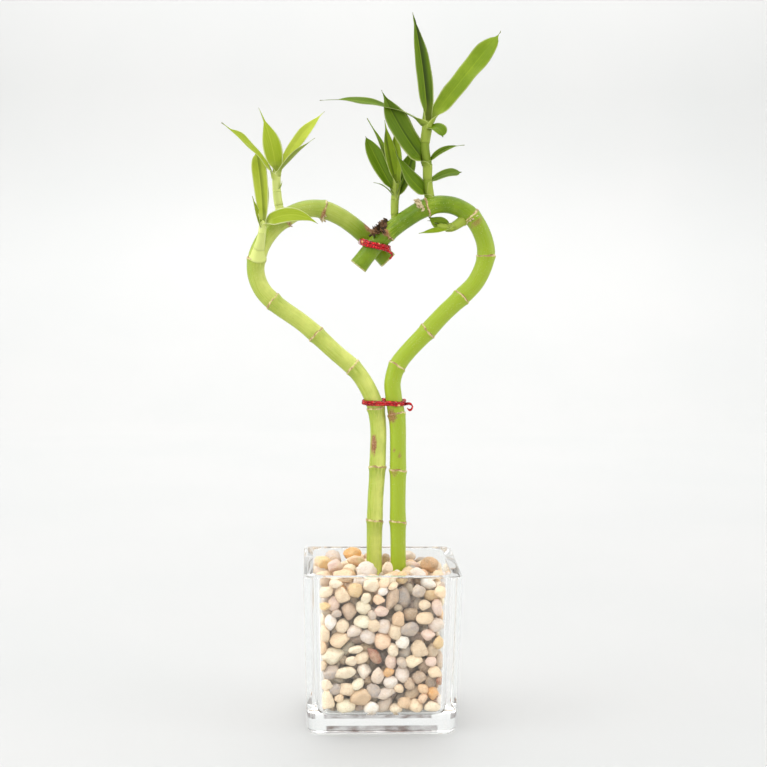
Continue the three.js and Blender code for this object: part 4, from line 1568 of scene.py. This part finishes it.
LEFT_STALK = BambooStalk(
    "stalk_left_skin", "stalk_left", "stalk_lime",
    [(-4.5, 1, 26), (-4, 1, 80), (-3.8, 1, 135), (-2.2, 1, 172), (-2.3, 1, 197), (-5.6, 1, 212), (-16, 1, 230),
     (-31, 1, 243.5), (-50.5, 1, 261), (-70, 1, 275), (-79, 1, 284.5), (-83, 1, 297), (-79.8, 1, 311.5),
     (-70, 1.6, 325.5), (-55, 3, 335.2), (-42, 4.5, 336.9), (-29, 5.6, 332.4), (-14, 6, 321.8), (3.7, 6, 303.5)],
    [36, 70, 105.5, 141.5, 180.5, 212.5, 245, 280.5, 311, 344, 371],
    # Painted shade along the upper arch and at the crossing.
    [(0, 0.0), (200, 0.0), (300, 0.15), (340, 0.35), (388, 0.5), (399, 1.0), (430, 1.0)],
    [Scar((-5.0, 182.5), 6.8, 1.9), Scar((-61.5, 327.5), 1.6, 4.5, 0.5), Scar((-39.0, 333.0), 1.5, 4.5, 0.9),
     # The last scar here is a painted shadow, dark brown where the stalks cross.
     Scar((-8.0, 325.0), 4.5, 4.0, 1.0)], 3)

RIGHT_STALK = BambooStalk(
    "stalk_right_skin", "stalk_right", "stalk_green",
    [(11.9, -1, 26), (11.9, -1, 105), (11.3, -1, 140), (11.2, -1, 165), (10.5, -1, 198), (7.9, -1, 214),
     (7, -1, 223.5), (10, -1, 234.4), (17, -1, 244), (29.8, -1, 257.6), (41.2, -1, 270), (52, -1, 280.3),
     (61, -1.4, 290), (66.4, -2, 302), (67.4, -2.6, 310.5), (64.5, -3.2, 321.5), (57.5, -3.8, 332.4),
     (47, -4.5, 339), (36, -5.3, 340.3), (26, -5.8, 337.4), (14.3, -6.2, 330.4), (3, -6.2, 321.8),
     (-6, -6.2, 312.8), (-16.2, -6, 299.8)],
    [38, 71, 105, 139.5, 177, 209.5, 240, 271.5, 303.5, 332, 363, 394],
    # Painted shade along the arch.
    [(0, 0.0), (230, 0.05), (300, 0.12), (325, 0.5), (350, 1.0), (400, 1.0), (430, 0.85)],
    [Scar((6.6, 201.5), 4.6, 3.0, 0.85), Scar((8.6, 164.5), 2.6, 2.0, 0.5), Scar((60.5, 329.0), 1.5, 5.0, 0.6),
     Scar((8.0, 179.5), 1.2, 1.0, 0.8), Scar((12.0, 175.5), 1.8, 0.9, 0.8), Scar((0.6, 322.5), 2.2, 4.0, 1.0)], 8)


# ---- leaves


@dataclass(frozen=True)
class Leaf:
    """One leaf: where it leaves the shoot, which way it goes, how it bends and how it is cut."""

    at: float
    heading: float
    rise: tuple[float, float]
    length: float
    width: float
    turn: float
    tone: float
    peak: float = 0.45
    foot: float = 0.32
    tip: float = 1.25
    fold: float = 16.0
    tail: float = 0.06
    bow: float = 0.0
    twist: float = 0.0
    wave: float = 1.0
    # How dark the painted shade in the leaf's fold is; its sign picks the half that is shaded.
    crease: float = 0.0


@dataclass
class LeafyShoot:
    """A side shoot: a short stem wrapped in leaf feet, and its leaves."""

    name: str
    node: str
    slot: str
    points: Sequence[Sequence[float]]
    radii: tuple[float, float]
    leaves: Sequence[Leaf]
    stem_tone: float = 0.9
    flare: tuple[float, float] = (0.6, 2.0)
    rows: int = 34
    columns: int = 13
    thick: float = 0.42
    sleeve: float = 9.0
    foot_wrap: float = 118.0
    foot_gap: float = 0.3

    def build(self, finish: Material) -> Object:
        """Makes the shoot.

        Args:
            finish: The leaf finish.

        Returns:
            The piece.
        """
        self.route = Route(self.points)
        shell = Shell()
        self._stem(shell)
        for number, leaf in enumerate(self.leaves):
            self._leaf(shell, leaf, number)
        shoot = shell.piece(self.name, finish)
        outward(shoot)
        return belongs(shoot, self.slot, self.node)

    def _radius(self, s: Any) -> Any:
        """Gives the stem's radius at a distance along."""
        wide, reach = self.flare
        return mix(*self.radii, np.clip(s / self.route.length, 0, 1)) * 0.94 + wide * np.exp(-np.asarray(s) / reach)

    def _sides(self, s: float, heading: float) -> tuple[Rows, Rows, Rows]:
        """Gives the stem's direction, and outwards and sideways for a leaf.

        Args:
            s: Distance along the stem.
            heading: The leaf's compass direction in degrees.

        Returns:
            The three directions.
        """
        way = self.route.heading(s)
        out = np.array([math.cos(math.radians(heading)), math.sin(math.radians(heading)), 0.0])
        out = unit(out - way * out.dot(way))
        return way, out, np.cross(way, out)

    def _stem(self, shell: Shell) -> None:
        """Adds the stem with a closed foot and a rounded top.

        Args:
            shell: What it is added to.
        """
        s = np.concatenate([np.arange(0, self.route.length, 1.2), [self.route.length]])
        sides = 20
        a = np.arange(sides) / sides * math.tau
        points = []
        for distance in s:
            way, out, side = self._sides(distance, 0.0)
            left = self.route.length - distance
            radius = self._radius(distance) * min(1.0, math.sqrt(max(left, 0.05) / 2.0))
            radius += 0.12 * math.exp(-((distance % 7.0) - 0.6) ** 2 / 0.3)
            ring = np.outer(np.cos(a), out) + np.outer(np.sin(a), side)
            points.append(self.route.at(distance) + ring * radius)
        rows = len(s)
        body = np.vstack([*points, self.route.at(0.0), self.route.at(self.route.length)])
        faces = grid_faces(rows, sides, closed=True)
        faces += [(rows * sides, (j + 1) % sides, j) for j in range(sides)]
        last = (rows - 1) * sides
        faces += [(rows * sides + 1, last + j, last + (j + 1) % sides) for j in range(sides)]
        across = np.concatenate([np.sin(np.tile(a, rows)) * self.radii[0], [0, 0]])
        along = np.concatenate([np.repeat(s, sides), [0, self.route.length]])
        blade = np.stack([across, along, np.full(len(body), 40.0)], axis=1)
        pale = mix(0.2, -0.1, self.stem_tone)
        span = np.stack([np.full(len(body), 0.4), np.full(len(body), pale), np.zeros(len(body))], axis=1)
        shell.add(body, faces, blade=blade, span=span, tone=np.full(len(body), self.stem_tone),
                  crease=np.zeros(len(body)))

    def _width(self, u: Rows, leaf: Leaf) -> Rows:
        """Gives the share of the leaf's width at each share of its length."""
        body = np.clip(u / (1 - leaf.tail), 0, 1)
        rising = mix(leaf.foot, 1.0, 1 - (1 - np.minimum(body, leaf.peak) / leaf.peak) ** 2)
        past = np.clip((body - leaf.peak) / (1 - leaf.peak), 0, 1)
        falling = np.maximum(1 - past ** 2, 0) ** leaf.tip
        spike = 0.16 * np.clip((1 - u) / max(2 * leaf.tail, 0.02), 0, 1)
        return np.maximum(np.where(body < leaf.peak, rising, falling), spike)

    def _leaf(self, shell: Shell, leaf: Leaf, number: int) -> None:
        """Adds one leaf with the sleeve that wraps the stem below it.

        Args:
            shell: What it is added to.
            leaf: The leaf.
            number: Which leaf of this shoot it is.
        """
        u = np.linspace(0, 1, self.rows) ** 0.92
        rise = np.radians(mix(leaf.rise[0], leaf.rise[1], u))
        h = np.radians(leaf.heading + leaf.bow * (u - 0.5))
        way = np.stack([np.cos(rise) * np.cos(h), np.cos(rise) * np.sin(h), np.sin(rise)], axis=1)
        step = unit(way[1:] + way[:-1])
        spine = np.vstack([[0, 0, 0], np.cumsum(step * (np.diff(u) * leaf.length)[:, None], axis=0)])
        spine = spine + self.route.at(leaf.at)
        level = np.stack([-np.sin(h), np.cos(h), np.zeros(len(u))], axis=1)
        turn = np.radians(leaf.turn) * ease(u / 0.22) + math.radians(leaf.twist) * u ** 2
        cross = np.cross(way, level)
        side = level * np.cos(turn)[:, None] + cross * np.sin(turn)[:, None]
        face = np.cross(way, side)
        v = np.linspace(-1, 1, self.columns)
        v = np.sign(v) * np.abs(v) ** 0.9
        half = np.maximum(leaf.width * self._width(u, leaf), 0.28 * (1 - u) + 0.1) / 2
        fold = math.radians(leaf.fold)
        rng = np.random.default_rng(number * 7 + len(self.name))
        ripple = self._ripple(u, v, leaf, rng)
        lift = (np.sqrt(v ** 2 + 0.012) - math.sqrt(0.012)) * math.sin(fold) - 0.1 * v ** 2 * math.sin(fold)
        blade = (spine[:, None, :] + side[:, None, :] * (half[:, None] * v * math.cos(fold))[..., None]
                 + face[:, None, :] * (half[:, None] * lift + ripple)[..., None])
        angle = np.radians(self.foot_wrap) * v
        away = -face[:, None, :] * np.cos(angle)[:, None] + side[:, None, :] * np.sin(angle)[:, None]
        wrap = spine[:, None, :] + away * (self._radius(leaf.at) + self.foot_gap)
        share = ease(u / 0.16)[:, None, None]
        blade = wrap * (1 - share) + blade * share
        thick = self.thick * (1 - 0.55 * np.abs(v) ** 1.5) * (1 - 0.25 * u)[:, None] / 2
        normal = self._normals(blade)
        sleeve, out = self._sleeve(leaf, v)
        grid = np.concatenate([sleeve, blade[1:]])
        normal = np.concatenate([out, normal[1:]])
        thick = np.concatenate([np.full((len(sleeve), len(v)), self.thick / 3), thick[1:]])[..., None]
        points, faces = thin_solid(grid + normal * thick, grid - normal * thick)
        shell.add(points, faces, **self._values(leaf, number, u, v, half, len(sleeve)))

    def _ripple(self, u: Rows, v: Rows, leaf: Leaf, rng: np.random.Generator) -> Rows:
        """Gives the slight waves of the leaf's edges.

        Args:
            u: Shares of the length.
            v: Shares of the half width.
            leaf: The leaf.
            rng: For where the waves fall.

        Returns:
            Lift for each point.
        """
        a, b, c = rng.uniform(0, math.tau, 3)
        size = 0.035 * leaf.width * leaf.wave
        wave = np.sin(u[:, None] * leaf.length / 6.5 + a + 1.4 * np.sign(v))
        wave = wave + 0.5 * np.sin(u[:, None] * leaf.length / 3.1 + b)
        bend = 0.35 * np.sin(u * 3.1 + c)[:, None] * v
        return size * (wave * v ** 2 + bend) * ease(u / 0.3)[:, None]

    def _sleeve(self, leaf: Leaf, v: Rows) -> tuple[Rows, Rows]:
        """Gives the part of the foot that wraps the stem below the leaf.

        Args:
            leaf: The leaf.
            v: Shares of the half width.

        Returns:
            Its points, lowest row first, and their outward directions turned in.
        """
        low = max(leaf.at - self.sleeve, 0.4)
        rows, ways = [], []
        for s in np.linspace(low, leaf.at, 8):
            _, out, side = self._sides(s, leaf.heading)
            share = (s - low) / max(leaf.at - low, 0.1)
            angle = math.radians(mix(165, self.foot_wrap, share)) * v
            away = np.outer(np.cos(angle), out) + np.outer(np.sin(angle), side)
            rows.append(self.route.at(s) + away * (self._radius(s) + mix(0.12, self.foot_gap, share)))
            ways.append(-away)
        return np.array(rows), np.array(ways)

    @staticmethod
    def _normals(grid: Rows) -> Rows:
        """Gives the upward direction at each point of a sheet."""
        return unit(np.cross(np.gradient(grid, axis=0), np.gradient(grid, axis=1)))

    @staticmethod
    def _values(leaf: Leaf, number: int, u: Rows, v: Rows, half: Rows, sleeve_rows: int) -> dict[str, Rows]:
        """Gives what the finish reads at each point of a leaf, upper side first.

        Args:
            leaf: The leaf.
            number: Which leaf it is.
            u: Shares of the length.
            v: Shares of the half width.
            half: Half widths.
            sleeve_rows: How many rows the sleeve has.

        Returns:
            The values by name.
        """
        share = np.concatenate([np.linspace(-0.25, 0, sleeve_rows), u[1:]])
        wide = np.concatenate([np.full(sleeve_rows, max(half[0], 1.6)), half[1:]])
        across = wide[:, None] * v
        share = np.repeat(share[:, None], len(v), axis=1)
        key = np.full(across.shape, number * 3.7 + 0.5)
        blade = np.stack([across, share * leaf.length, key], axis=-1).reshape(-1, 3)
        span = [np.stack([np.tile(v, (len(wide), 1)), share, np.full(across.shape, under)], axis=-1).reshape(-1, 3)
                for under in (0.0, 1.0)]
        count = 2 * across.size
        return {"blade": np.vstack([blade, blade]), "span": np.vstack(span), "tone": np.full(count, leaf.tone),
                "crease": np.full(count, leaf.crease)}


SHOOTS = [
    LeafyShoot("leaves_left_outer", "shoot_left_outer", "leaf_lime",
               [(-81.7, -0.6, 304.6), (-80.9, -3.6, 309.5), (-79.3, -7.4, 316), (-78.3, -8.9, 322),
                (-77.9, -8.8, 329)], (2.6, 1.9),
               [Leaf(18.6, -155, (72, 75), 24.5, 7.4, -52, 0.25, tail=0.1, fold=24),
                Leaf(22.8, 110, (86, 60), 50, 11, -8, 0.85, peak=0.72, tip=0.55, fold=24, tail=0.02, crease=-0.55),
                Leaf(23.6, 80, (72, 78), 35.5, 6.5, 0, 0.7, peak=0.55),
                Leaf(23.2, -4, (42, -37), 38.5, 10.6, 66, 0.62, peak=0.4, foot=0.5, fold=8, tail=0.05)], 1.0,
               (3.7, 7.0), sleeve=11.0),
    LeafyShoot("leaves_left_inner", "shoot_left_inner", "leaf_lime",
               [(-67, 2.5, 334), (-69, 2.5, 345), (-69.5, 2.5, 352), (-69.5, 2.5, 361)], (2.7, 2.5),
               [Leaf(25, 151, (84, 61), 45.5, 12.8, -58, 0.6, peak=0.44, tip=1.5, tail=0.16, fold=12),
                Leaf(25, 26, (60, 41), 54.5, 8.4, 48, 0.9, peak=0.62, foot=0.25, wave=1.8, tail=0.05),
                Leaf(24, -32, (50, 28), 38, 6.5, 0, 0.25, tail=0.1),
                Leaf(22, -148, (51, 30), 53.5, 10, -48, 0.7, peak=0.66, foot=0.24, wave=1.8, tail=0.13),
                Leaf(14, -40, (27, 87), 8.5, 3.2, 20, 0.4)], 1.0, (0.9, 3.0)),
    LeafyShoot("leaves_middle", "shoot_middle", "leaf_green",
               [(7.4, -4.5, 328), (7.3, -4, 342), (8.3, -3, 350.5), (9.2, -2.2, 354)], (2.4, 2.4),
               [Leaf(19, 150, (56, 62), 43.5, 12, -48, 0.55, peak=0.6, tip=0.7, fold=20, crease=-0.2, tail=0.03),
                Leaf(24, 141, (70, 52), 51, 6.8, -10, 0.7, tail=0.12, crease=0.5),
                Leaf(25, 137, (71, 79), 43.5, 9.6, -24, 0.9, tail=0.1, crease=0.5),
                Leaf(25, 96, (74, 72), 39.5, 8.4, -12, 1.0, fold=24, crease=0.4),
                Leaf(15, 36, (58, 74), 38.5, 10.8, 40, 0.5, peak=0.62, crease=-0.5),
                Leaf(15, -149, (61, 5), 20.5, 5, -16, 0.5, tail=0.1),
                Leaf(14, -25, (72, 67), 17, 5.4, 25, 0.6)], 0.85, (0.7, 2.5)),
    LeafyShoot("leaves_right", "shoot_right", "leaf_green",
               [(30.6, -5.5, 341), (28.4, -5.5, 355), (28.2, -5.5, 365.5), (26.4, -5.5, 378), (27.6, -5.5, 389),
                (27.9, -5.5, 394)], (2.8, 3.2),
               [Leaf(53, 130, (84, 72), 72.2, 12.5, -25, 0.36, peak=0.4, foot=0.42, fold=28, tail=0.04, crease=-0.8),
                Leaf(51, 24, (50, 48), 82.2, 14, 52, 0.74, peak=0.72, foot=0.5, tip=0.55, tail=0.05, wave=2.2,
                     fold=9),
                Leaf(51, -164, (27, -7), 74.5, 9, -22, 0.38, peak=0.7, foot=0.3, twist=-30, tail=0.14, wave=1.5),
                Leaf(24, -163, (46, 66), 57.5, 17.5, -78, 0.36, peak=0.6, foot=0.62, fold=14, crease=-0.45),
                Leaf(48, -35, (30, -80), 15.5, 10.5, 24, 0.55, peak=0.66, tip=0.6),
                Leaf(25, -24, (51, 0), 29, 6.8, 45, 0.42, peak=0.45, tail=0.14, fold=20, crease=0.4),
                Leaf(13, 24, (33, 2), 26.5, 8, 44, 0.34, peak=0.76, foot=0.2, tip=0.7, tail=0.05, wave=2.4),
                Leaf(4, -165, (33, 68), 38, 13, -60, 0.42, wave=1.6)], 0.5, (0.9, 3.0)),
    LeafyShoot("leaves_under_arch", "shoot_under_arch", "leaf_green",
               [(52.5, -5, 330.5), (44.6, -6, 325.6), (38.7, -6.4, 325.6), (35, -6.6, 327)], (3.2, 2.2),
               [Leaf(8, -162, (-14, -8), 25, 5.5, -40, 0.85),
                Leaf(10, 170, (8, 42), 17, 10, -60, 0.7),
                Leaf(13, 160, (38, -1), 14, 5, -40, 0.1)], 0.85),
]


# ---- dry husks


@dataclass(frozen=True)
class Husk:
    """Dry sheath left on a node ring: torn flakes that stand on part of the ring.

    The part of the ring is given in degrees from its front. The lean is how far the flakes lie along the stalk.
    """

    name: str
    stalk: BambooStalk
    ring: float
    part: tuple[float, float]
    size: tuple[float, float]
    lean: float
    tone: float
    flakes: int
    seed: int
    spread: float = 0.35

    def build(self, finish: Material) -> Object:
        """Makes the flakes.

        Args:
            finish: The husk finish.

        Returns:
            The piece.
        """
        rng = np.random.default_rng(self.seed)
        shell = Shell()
        for number in range(self.flakes):
            self._flake(shell, rng, (number + rng.uniform(0.1, 0.9)) / self.flakes)
        return belongs(shell.piece(self.name, finish), self.stalk.slot)

    def _flake(self, shell: Shell, rng: np.random.Generator, share: float) -> None:
        """Adds one torn and curled flake.

        Args:
            shell: What it is added to.
            rng: For its size and lean.
            share: How far round its part of the ring it stands.
        """
        s = self.ring + rng.normal(0, self.spread)
        way = self.stalk.route.heading(s)
        front = unit(np.array([0.0, -1.0, 0.0]) + way * way[1])
        angle = math.radians(mix(*self.part, share))
        out = math.cos(angle) * front + math.sin(angle) * np.cross(way, front)
        base = self.stalk.route.at(s) + out * (float(self.stalk.girth(s)) - 0.25)
        along = unit(way * self.lean * rng.uniform(0.4, 1.3) + out * rng.uniform(0.35, 1.0) + rng.normal(0, 0.3, 3))
        across = unit(np.cross(along, out + rng.normal(0, 0.3, 3)))
        face = np.cross(along, across)
        long, wide = (size * rng.uniform(0.5, 1.2) for size in self.size)
        u, v = np.meshgrid(np.linspace(0, 1, 10), np.linspace(-1, 1, 6), indexing="ij")
        torn = 1 + 0.3 * np.sin(7 * u + 2 * v + rng.uniform(0, 6)) + 0.2 * np.sin(17 * u + rng.uniform(0, 6))
        half = wide / 2 * (1 - 0.8 * u ** 1.5) * torn
        curl = long * (rng.uniform(-0.3, 0.4) * u ** 2) + wide * 0.3 * v ** 2
        reach = u * long * (1 - 0.25 * np.abs(v) * rng.uniform(0.3, 1.0))
        sheet = base + along * reach[..., None] + across * (v * half)[..., None] + face * curl[..., None]
        points, faces = thin_solid(sheet - face * 0.07, sheet + face * 0.07)
        tone = self.tone + rng.uniform(-0.3, 0.3) + 0.25 * np.concatenate([u.ravel(), u.ravel()])
        shell.add(points, faces, tone=np.clip(tone, 0, 1))


HUSKS = [
    # The crossing husk is dark brown sheath, and its near-black tone is also painted shade where the stalks cross.
    Husk("husk_right_crossing", RIGHT_STALK, 395.5, (125, 35), (4.4, 3.8), 0.0, 0.0, 64, 5, 3.0),
    Husk("husk_right_crossing_edge", RIGHT_STALK, 394.0, (50, -70), (2.4, 1.5), 0.7, 0.35, 16, 6),
    Husk("husk_left_arch", LEFT_STALK, 371.0, (125, 30), (3.4, 2.6), 0.8, 0.8, 14, 2),
    Husk("husk_left_side", LEFT_STALK, 344.0, (110, 10), (1.8, 1.6), 0.8, 0.6, 8, 12),
    Husk("husk_right_arch", RIGHT_STALK, 365.5, (80, 0), (5.4, 3.2), 0.9, 0.9, 14, 7),
    Husk("husk_right_side", RIGHT_STALK, 331.6, (30, -115), (2.4, 1.8), -0.6, 0.8, 16, 13),
]


# ---- foil ties


@dataclass
class FoilTie:
    """Red foil ribbon wound round both stalks and twisted off."""

    name: str
    node: str
    level: float
    centre: float
    slope: float
    start: float
    tail: Sequence[Sequence[float]]
    seed: int
    stalks: Sequence[BambooStalk] = (LEFT_STALK, RIGHT_STALK)
    gap: float = 0.3
    wire: float = 0.75
    turns: int = 3

    def _section(self, stalk: BambooStalk) -> tuple[float, float, float, float]:
        """Gives the middle and the half sizes of a stalk where the tie's level cuts it.

        Args:
            stalk: The stalk.

        Returns:
            x, y, half width and half depth.
        """
        table = stalk.route.table
        near = np.abs(table[:, 2] - self.level) + 0.6 * np.abs(table[:, 0] - self.centre)
        best = int(np.argmin(near))
        s = stalk.route.reach[best]
        way = stalk.route.heading(s)
        radius = float(stalk.girth(s)) + self.gap
        return table[best, 0], table[best, 1], radius / max(abs(way[2]), 0.55), radius

    def _round(self, angle: Rows) -> Rows:
        """Gives the tight loop round both stalks.

        Args:
            angle: Angles round the loop.

        Returns:
            Its points at the middle of the band.
        """
        parts = [self._section(stalk) for stalk in self.stalks]

        def reach(a: Rows) -> Rows:
            """Gives how far the stalks reach in a direction."""
            return np.max([(x - self.centre) * np.cos(a) + y * np.sin(a) + np.hypot(w * np.cos(a), d * np.sin(a))
                           for x, y, w, d in parts], axis=0) + self.wire

        far = reach(angle)
        slide = (reach(angle + 0.02) - reach(angle - 0.02)) / 0.04
        x = far * np.cos(angle) - slide * np.sin(angle)
        y = far * np.sin(angle) + slide * np.cos(angle)
        return np.stack([self.centre + x, y, self.level + x * math.tan(math.radians(self.slope))], axis=1)

    def build(self, trees: TreeKit, finish: Material) -> Object:
        """Makes the tie.

        Args:
            trees: The geometry node trees.
            finish: The foil.

        Returns:
            The piece.
        """
        rng = np.random.default_rng(self.seed)
        steps = 130 * self.turns
        t = np.linspace(0, self.turns, steps)
        angle = math.radians(self.start) + t * math.tau
        path = self._round(angle)
        shake = np.convolve(rng.normal(0, 1, steps + 10), np.ones(11) / 11, "valid")
        path[:, 2] += mix(1.5, -1.5, t / self.turns) * self.wire * 0.95 + 0.5 * shake
        out = unit(np.stack([path[:, 0] - self.centre, path[:, 1], np.zeros(steps)], axis=1))
        path += out * (0.22 * np.abs(np.convolve(rng.normal(0, 1, steps + 6), np.ones(7) / 7, "valid")))[:, None]
        twisted = Route(path[-1] + np.array(self.tail))
        ends = 30
        path = np.vstack([path, twisted.at(np.linspace(0.5, twisted.length, ends))])
        count = len(path)
        girth = 1 + 0.12 * np.sin(np.arange(count) * 0.9)
        girth[-ends:] *= np.linspace(1.0, 0.75, ends)
        turn = np.cumsum(rng.normal(0, 0.16, count))
        turn[-ends:] += np.linspace(0, 5, ends)
        seed = seed_points(path, True, girth=girth, turn=turn)
        tie = trees.grow(self.name, seed, trees.sweep, Sides=12, Flatness=0.55, Wobble=0.55 * MM,
                         Wobble_Scale=900.0, Material=finish)
        outward(tie)
        return belongs(tie, "red_foil", self.node)


# ---- studio


@dataclass(frozen=True)
class PhotoCamera:
    """The camera of the photograph, in the frame of the vase."""

    place: Triple = (-44.0, -1048.2, 321.4)
    ahead: Triple = (0.042855, 0.994687, -0.093604)
    right: Triple = (0.999071, -0.042244, 0.008497)
    up: Triple = (-0.004498, 0.093882, 0.995573)
    lens: float = 75.1

    def build(self) -> None:
        """Makes the camera and gives it to the scene."""
        data = bpy.data.cameras.new("photo_camera")
        data.lens = self.lens
        data.sensor_width = 36.0
        data.clip_start = 0.05
        camera = placed("photo_camera", data)
        turn = Matrix((self.right, self.up, tuple(-a for a in self.ahead))).transposed().to_4x4()
        camera.matrix_world = Matrix.Translation(Vector(self.place) * MM) @ turn
        bpy.context.scene.camera = camera


@dataclass(frozen=True)
class Softbox:
    """A rectangular studio light."""

    name: str
    place: Triple
    aim: Triple
    size: tuple[float, float]
    power: float

    def build(self) -> None:
        """Hangs the light."""
        data = bpy.data.lights.new(self.name, "AREA")
        data.shape = "RECTANGLE"
        data.size, data.size_y = self.size
        data.energy = self.power
        light = placed(self.name, data)
        light.location = self.place
        light.rotation_euler = (Vector(self.aim) - Vector(self.place)).to_track_quat("-Z", "Y").to_euler()


@dataclass
class Studio:
    """Seamless pale paper, a bright room and soft lights."""

    room_front: float = 0.42
    room_back: float = 0.6
    room_sides: float = 0.4
    room_top: float = 0.4
    paper: int = 0xBABAB9
    cloudy: int = 0xB7B8B7
    lit_from_below: float = 0.16
    wide: float = 3.0
    front: float = -1.6
    below: float = -0.0003
    bend_start: float = 1.5
    bend: float = 0.6
    high: float = 3.4
    lights: Sequence[Softbox] = (
        Softbox("left_side", (-1.25, -0.3, 0.75), (0.0, 0.0, 0.22), (0.9, 1.3), 7.5),
        Softbox("right_side", (1.15, -0.35, 0.6), (0.0, 0.0, 0.25), (0.5, 1.2), 3.2),
        Softbox("front_key", (-0.15, -1.5, 1.1), (0.0, 0.0, 0.15), (0.7, 0.7), 5.5),
        Softbox("top", (-0.2, 0.1, 2.0), (0.0, 0.1, 0.0), (1.4, 1.2), 8.0),
        Softbox("backdrop_wash", (0.1, 1.15, 2.1), (0.1, 2.1, 1.35), (2.6, 0.6), 42.0),
    )

    def build(self) -> None:
        """Makes the paper, the room and the lights."""
        scene = bpy.context.scene
        scene.view_settings.view_transform = "Standard"
        world = bpy.data.worlds.new("room")
        scene.world = world
        world.use_nodes = True
        w = Wiring(world.node_tree)
        way = w.split(w.add("ShaderNodeTexCoord").outputs["Generated"])
        sides = w.window(w.math("ABSOLUTE", way[0]), 0.4, 0.9, 0.0, self.room_sides)
        above = w.window(way[2], 0.2, 0.8, 0.0, self.room_top)
        strength = w.math("ADD", w.window(way[1], -0.5, 0.3, self.room_front, self.room_back),
                          w.math("MAXIMUM", sides, above))
        path = w.add("ShaderNodeLightPath").outputs
        glassy = w.math("MAXIMUM", path["Is Transmission Ray"], path["Is Glossy Ray"])
        strength = w.times(strength, w.math("MULTIPLY_ADD", glassy, 0.4, 1.0))
        strength = w.math("MAXIMUM", strength, w.times(path["Is Camera Ray"], 0.93))
        w.fill(world.node_tree.nodes["Background"], {0: WHITE, 1: strength})
        for light in self.lights:
            light.build()
        self._paper()

    def _paper(self) -> None:
        """Makes the seamless sheet under and behind the object."""
        profile = [(self.front, 0.0), (-0.4, 0.0), (0.0, 0.0), (self.bend_start, 0.0)]
        for a in np.linspace(10, 90, 9):
            y = self.bend_start + self.bend * math.sin(math.radians(a))
            profile.append((y, self.bend * (1 - math.cos(math.radians(a)))))
        profile.append((self.bend_start + self.bend, self.high))
        xs = np.linspace(-self.wide, self.wide, 5)
        points = np.array([(x, y, z + self.below) for y, z in profile for x in xs]) / MM
        shell = Shell()
        shell.add(points, grid_faces(len(profile), len(xs)))
        w = Surface("seamless_paper")
        tone = w.blend(w.window(w.noise(w.coords(), 3.0, 2.0), 0.3, 0.7), paint(self.paper), paint(self.cloudy))
        material = w.dress(Base_Color=tone, Roughness=0.55, Emission_Color=(1.0, 1.0, 0.99, 1.0),
                           Emission_Strength=self.lit_from_below)
        shell.piece("seamless_paper", material)


# ---- build


def dressed() -> dict[str, Material]:
    """Builds every finish.

    Returns:
        Slot name to material, with the husk and the cut besides.
    """
    kit = EffectKit()
    finishes = {
        "clear_glass": GlassFinish(),
        "pebble_mix": PebbleFinish("river_stone_mixed", 0xE6C8A2, 0x86684C),
        "pebble_pale": PebbleFinish("river_stone_pale", 0xF4E2C6, 0xA8947A),
        "pebble_warm": PebbleFinish("river_stone_warm", 0xF0DDB8, 0xA36A34),
        "pebble_dark": PebbleFinish("river_stone_dark", 0x8C7258, 0x4A3C30),
        "stalk_lime": StalkFinish("lime_stalk_skin", 0xC0D036, 0xF8FA98, 0x86A014, 0x7A960A),
        "stalk_green": StalkFinish("green_stalk_skin", 0xB8CC38, 0xA6BC3A, 0xA4BC2E, 0x648406),
        "leaf_lime": LeafFinish("lime_leaf", 0x4A5E08, 0xA0B624, 0xCCD850, 0xF8FAC8, 0xEAF298, 0.6),
        "leaf_green": LeafFinish("green_leaf", 0x1C2C02, 0x5C7E08, 0xA6BE2E, 0xD2DA90, 0xB0C052, 0.55),
        "red_foil": FoilFinish(),
        "husk": HuskFinish(),
        "cut": CutFinish(),
    }
    return {slot: finish.build(kit) for slot, finish in finishes.items()}


def main() -> None:
    """Builds the studio and the object."""
    logging.basicConfig(level=logging.INFO, format="%(name)s: %(message)s")
    PhotoCamera().build()
    Studio().build()
    finishes = dressed()
    trees = TreeKit()
    vase = GlassVase()
    vase.build(finishes["clear_glass"])
    PebbleFill(vase).build(trees, finishes)
    for stalk in (LEFT_STALK, RIGHT_STALK):
        stalk.build(trees, finishes[stalk.slot], finishes["cut"])
    for shoot in SHOOTS:
        shoot.build(finishes[shoot.slot])
    for husk in HUSKS:
        husk.build(finishes["husk"])
    upper = FoilTie("foil_tie_upper", "tie_upper", 313.6, -5.6, -14, -40,
                    [(0, 0, 0), (2.2, -1.6, -1.2), (3, -2, -3.2), (1.2, -2, -5.2)], 4, wire=1.15, turns=4)
    lower = FoilTie("foil_tie_lower", "tie_lower", 210.4, 1.6, 0, -18,
                    [(0, 0, 0), (3, -1, 1), (5.2, -1, -1.2), (3.6, -1, -3.4), (1.6, -1.4, -2.2)], 9, wire=0.85)
    for tie in (upper, lower):
        tie.build(trees, finishes["red_foil"])


if __name__ == "__main__":
    main()
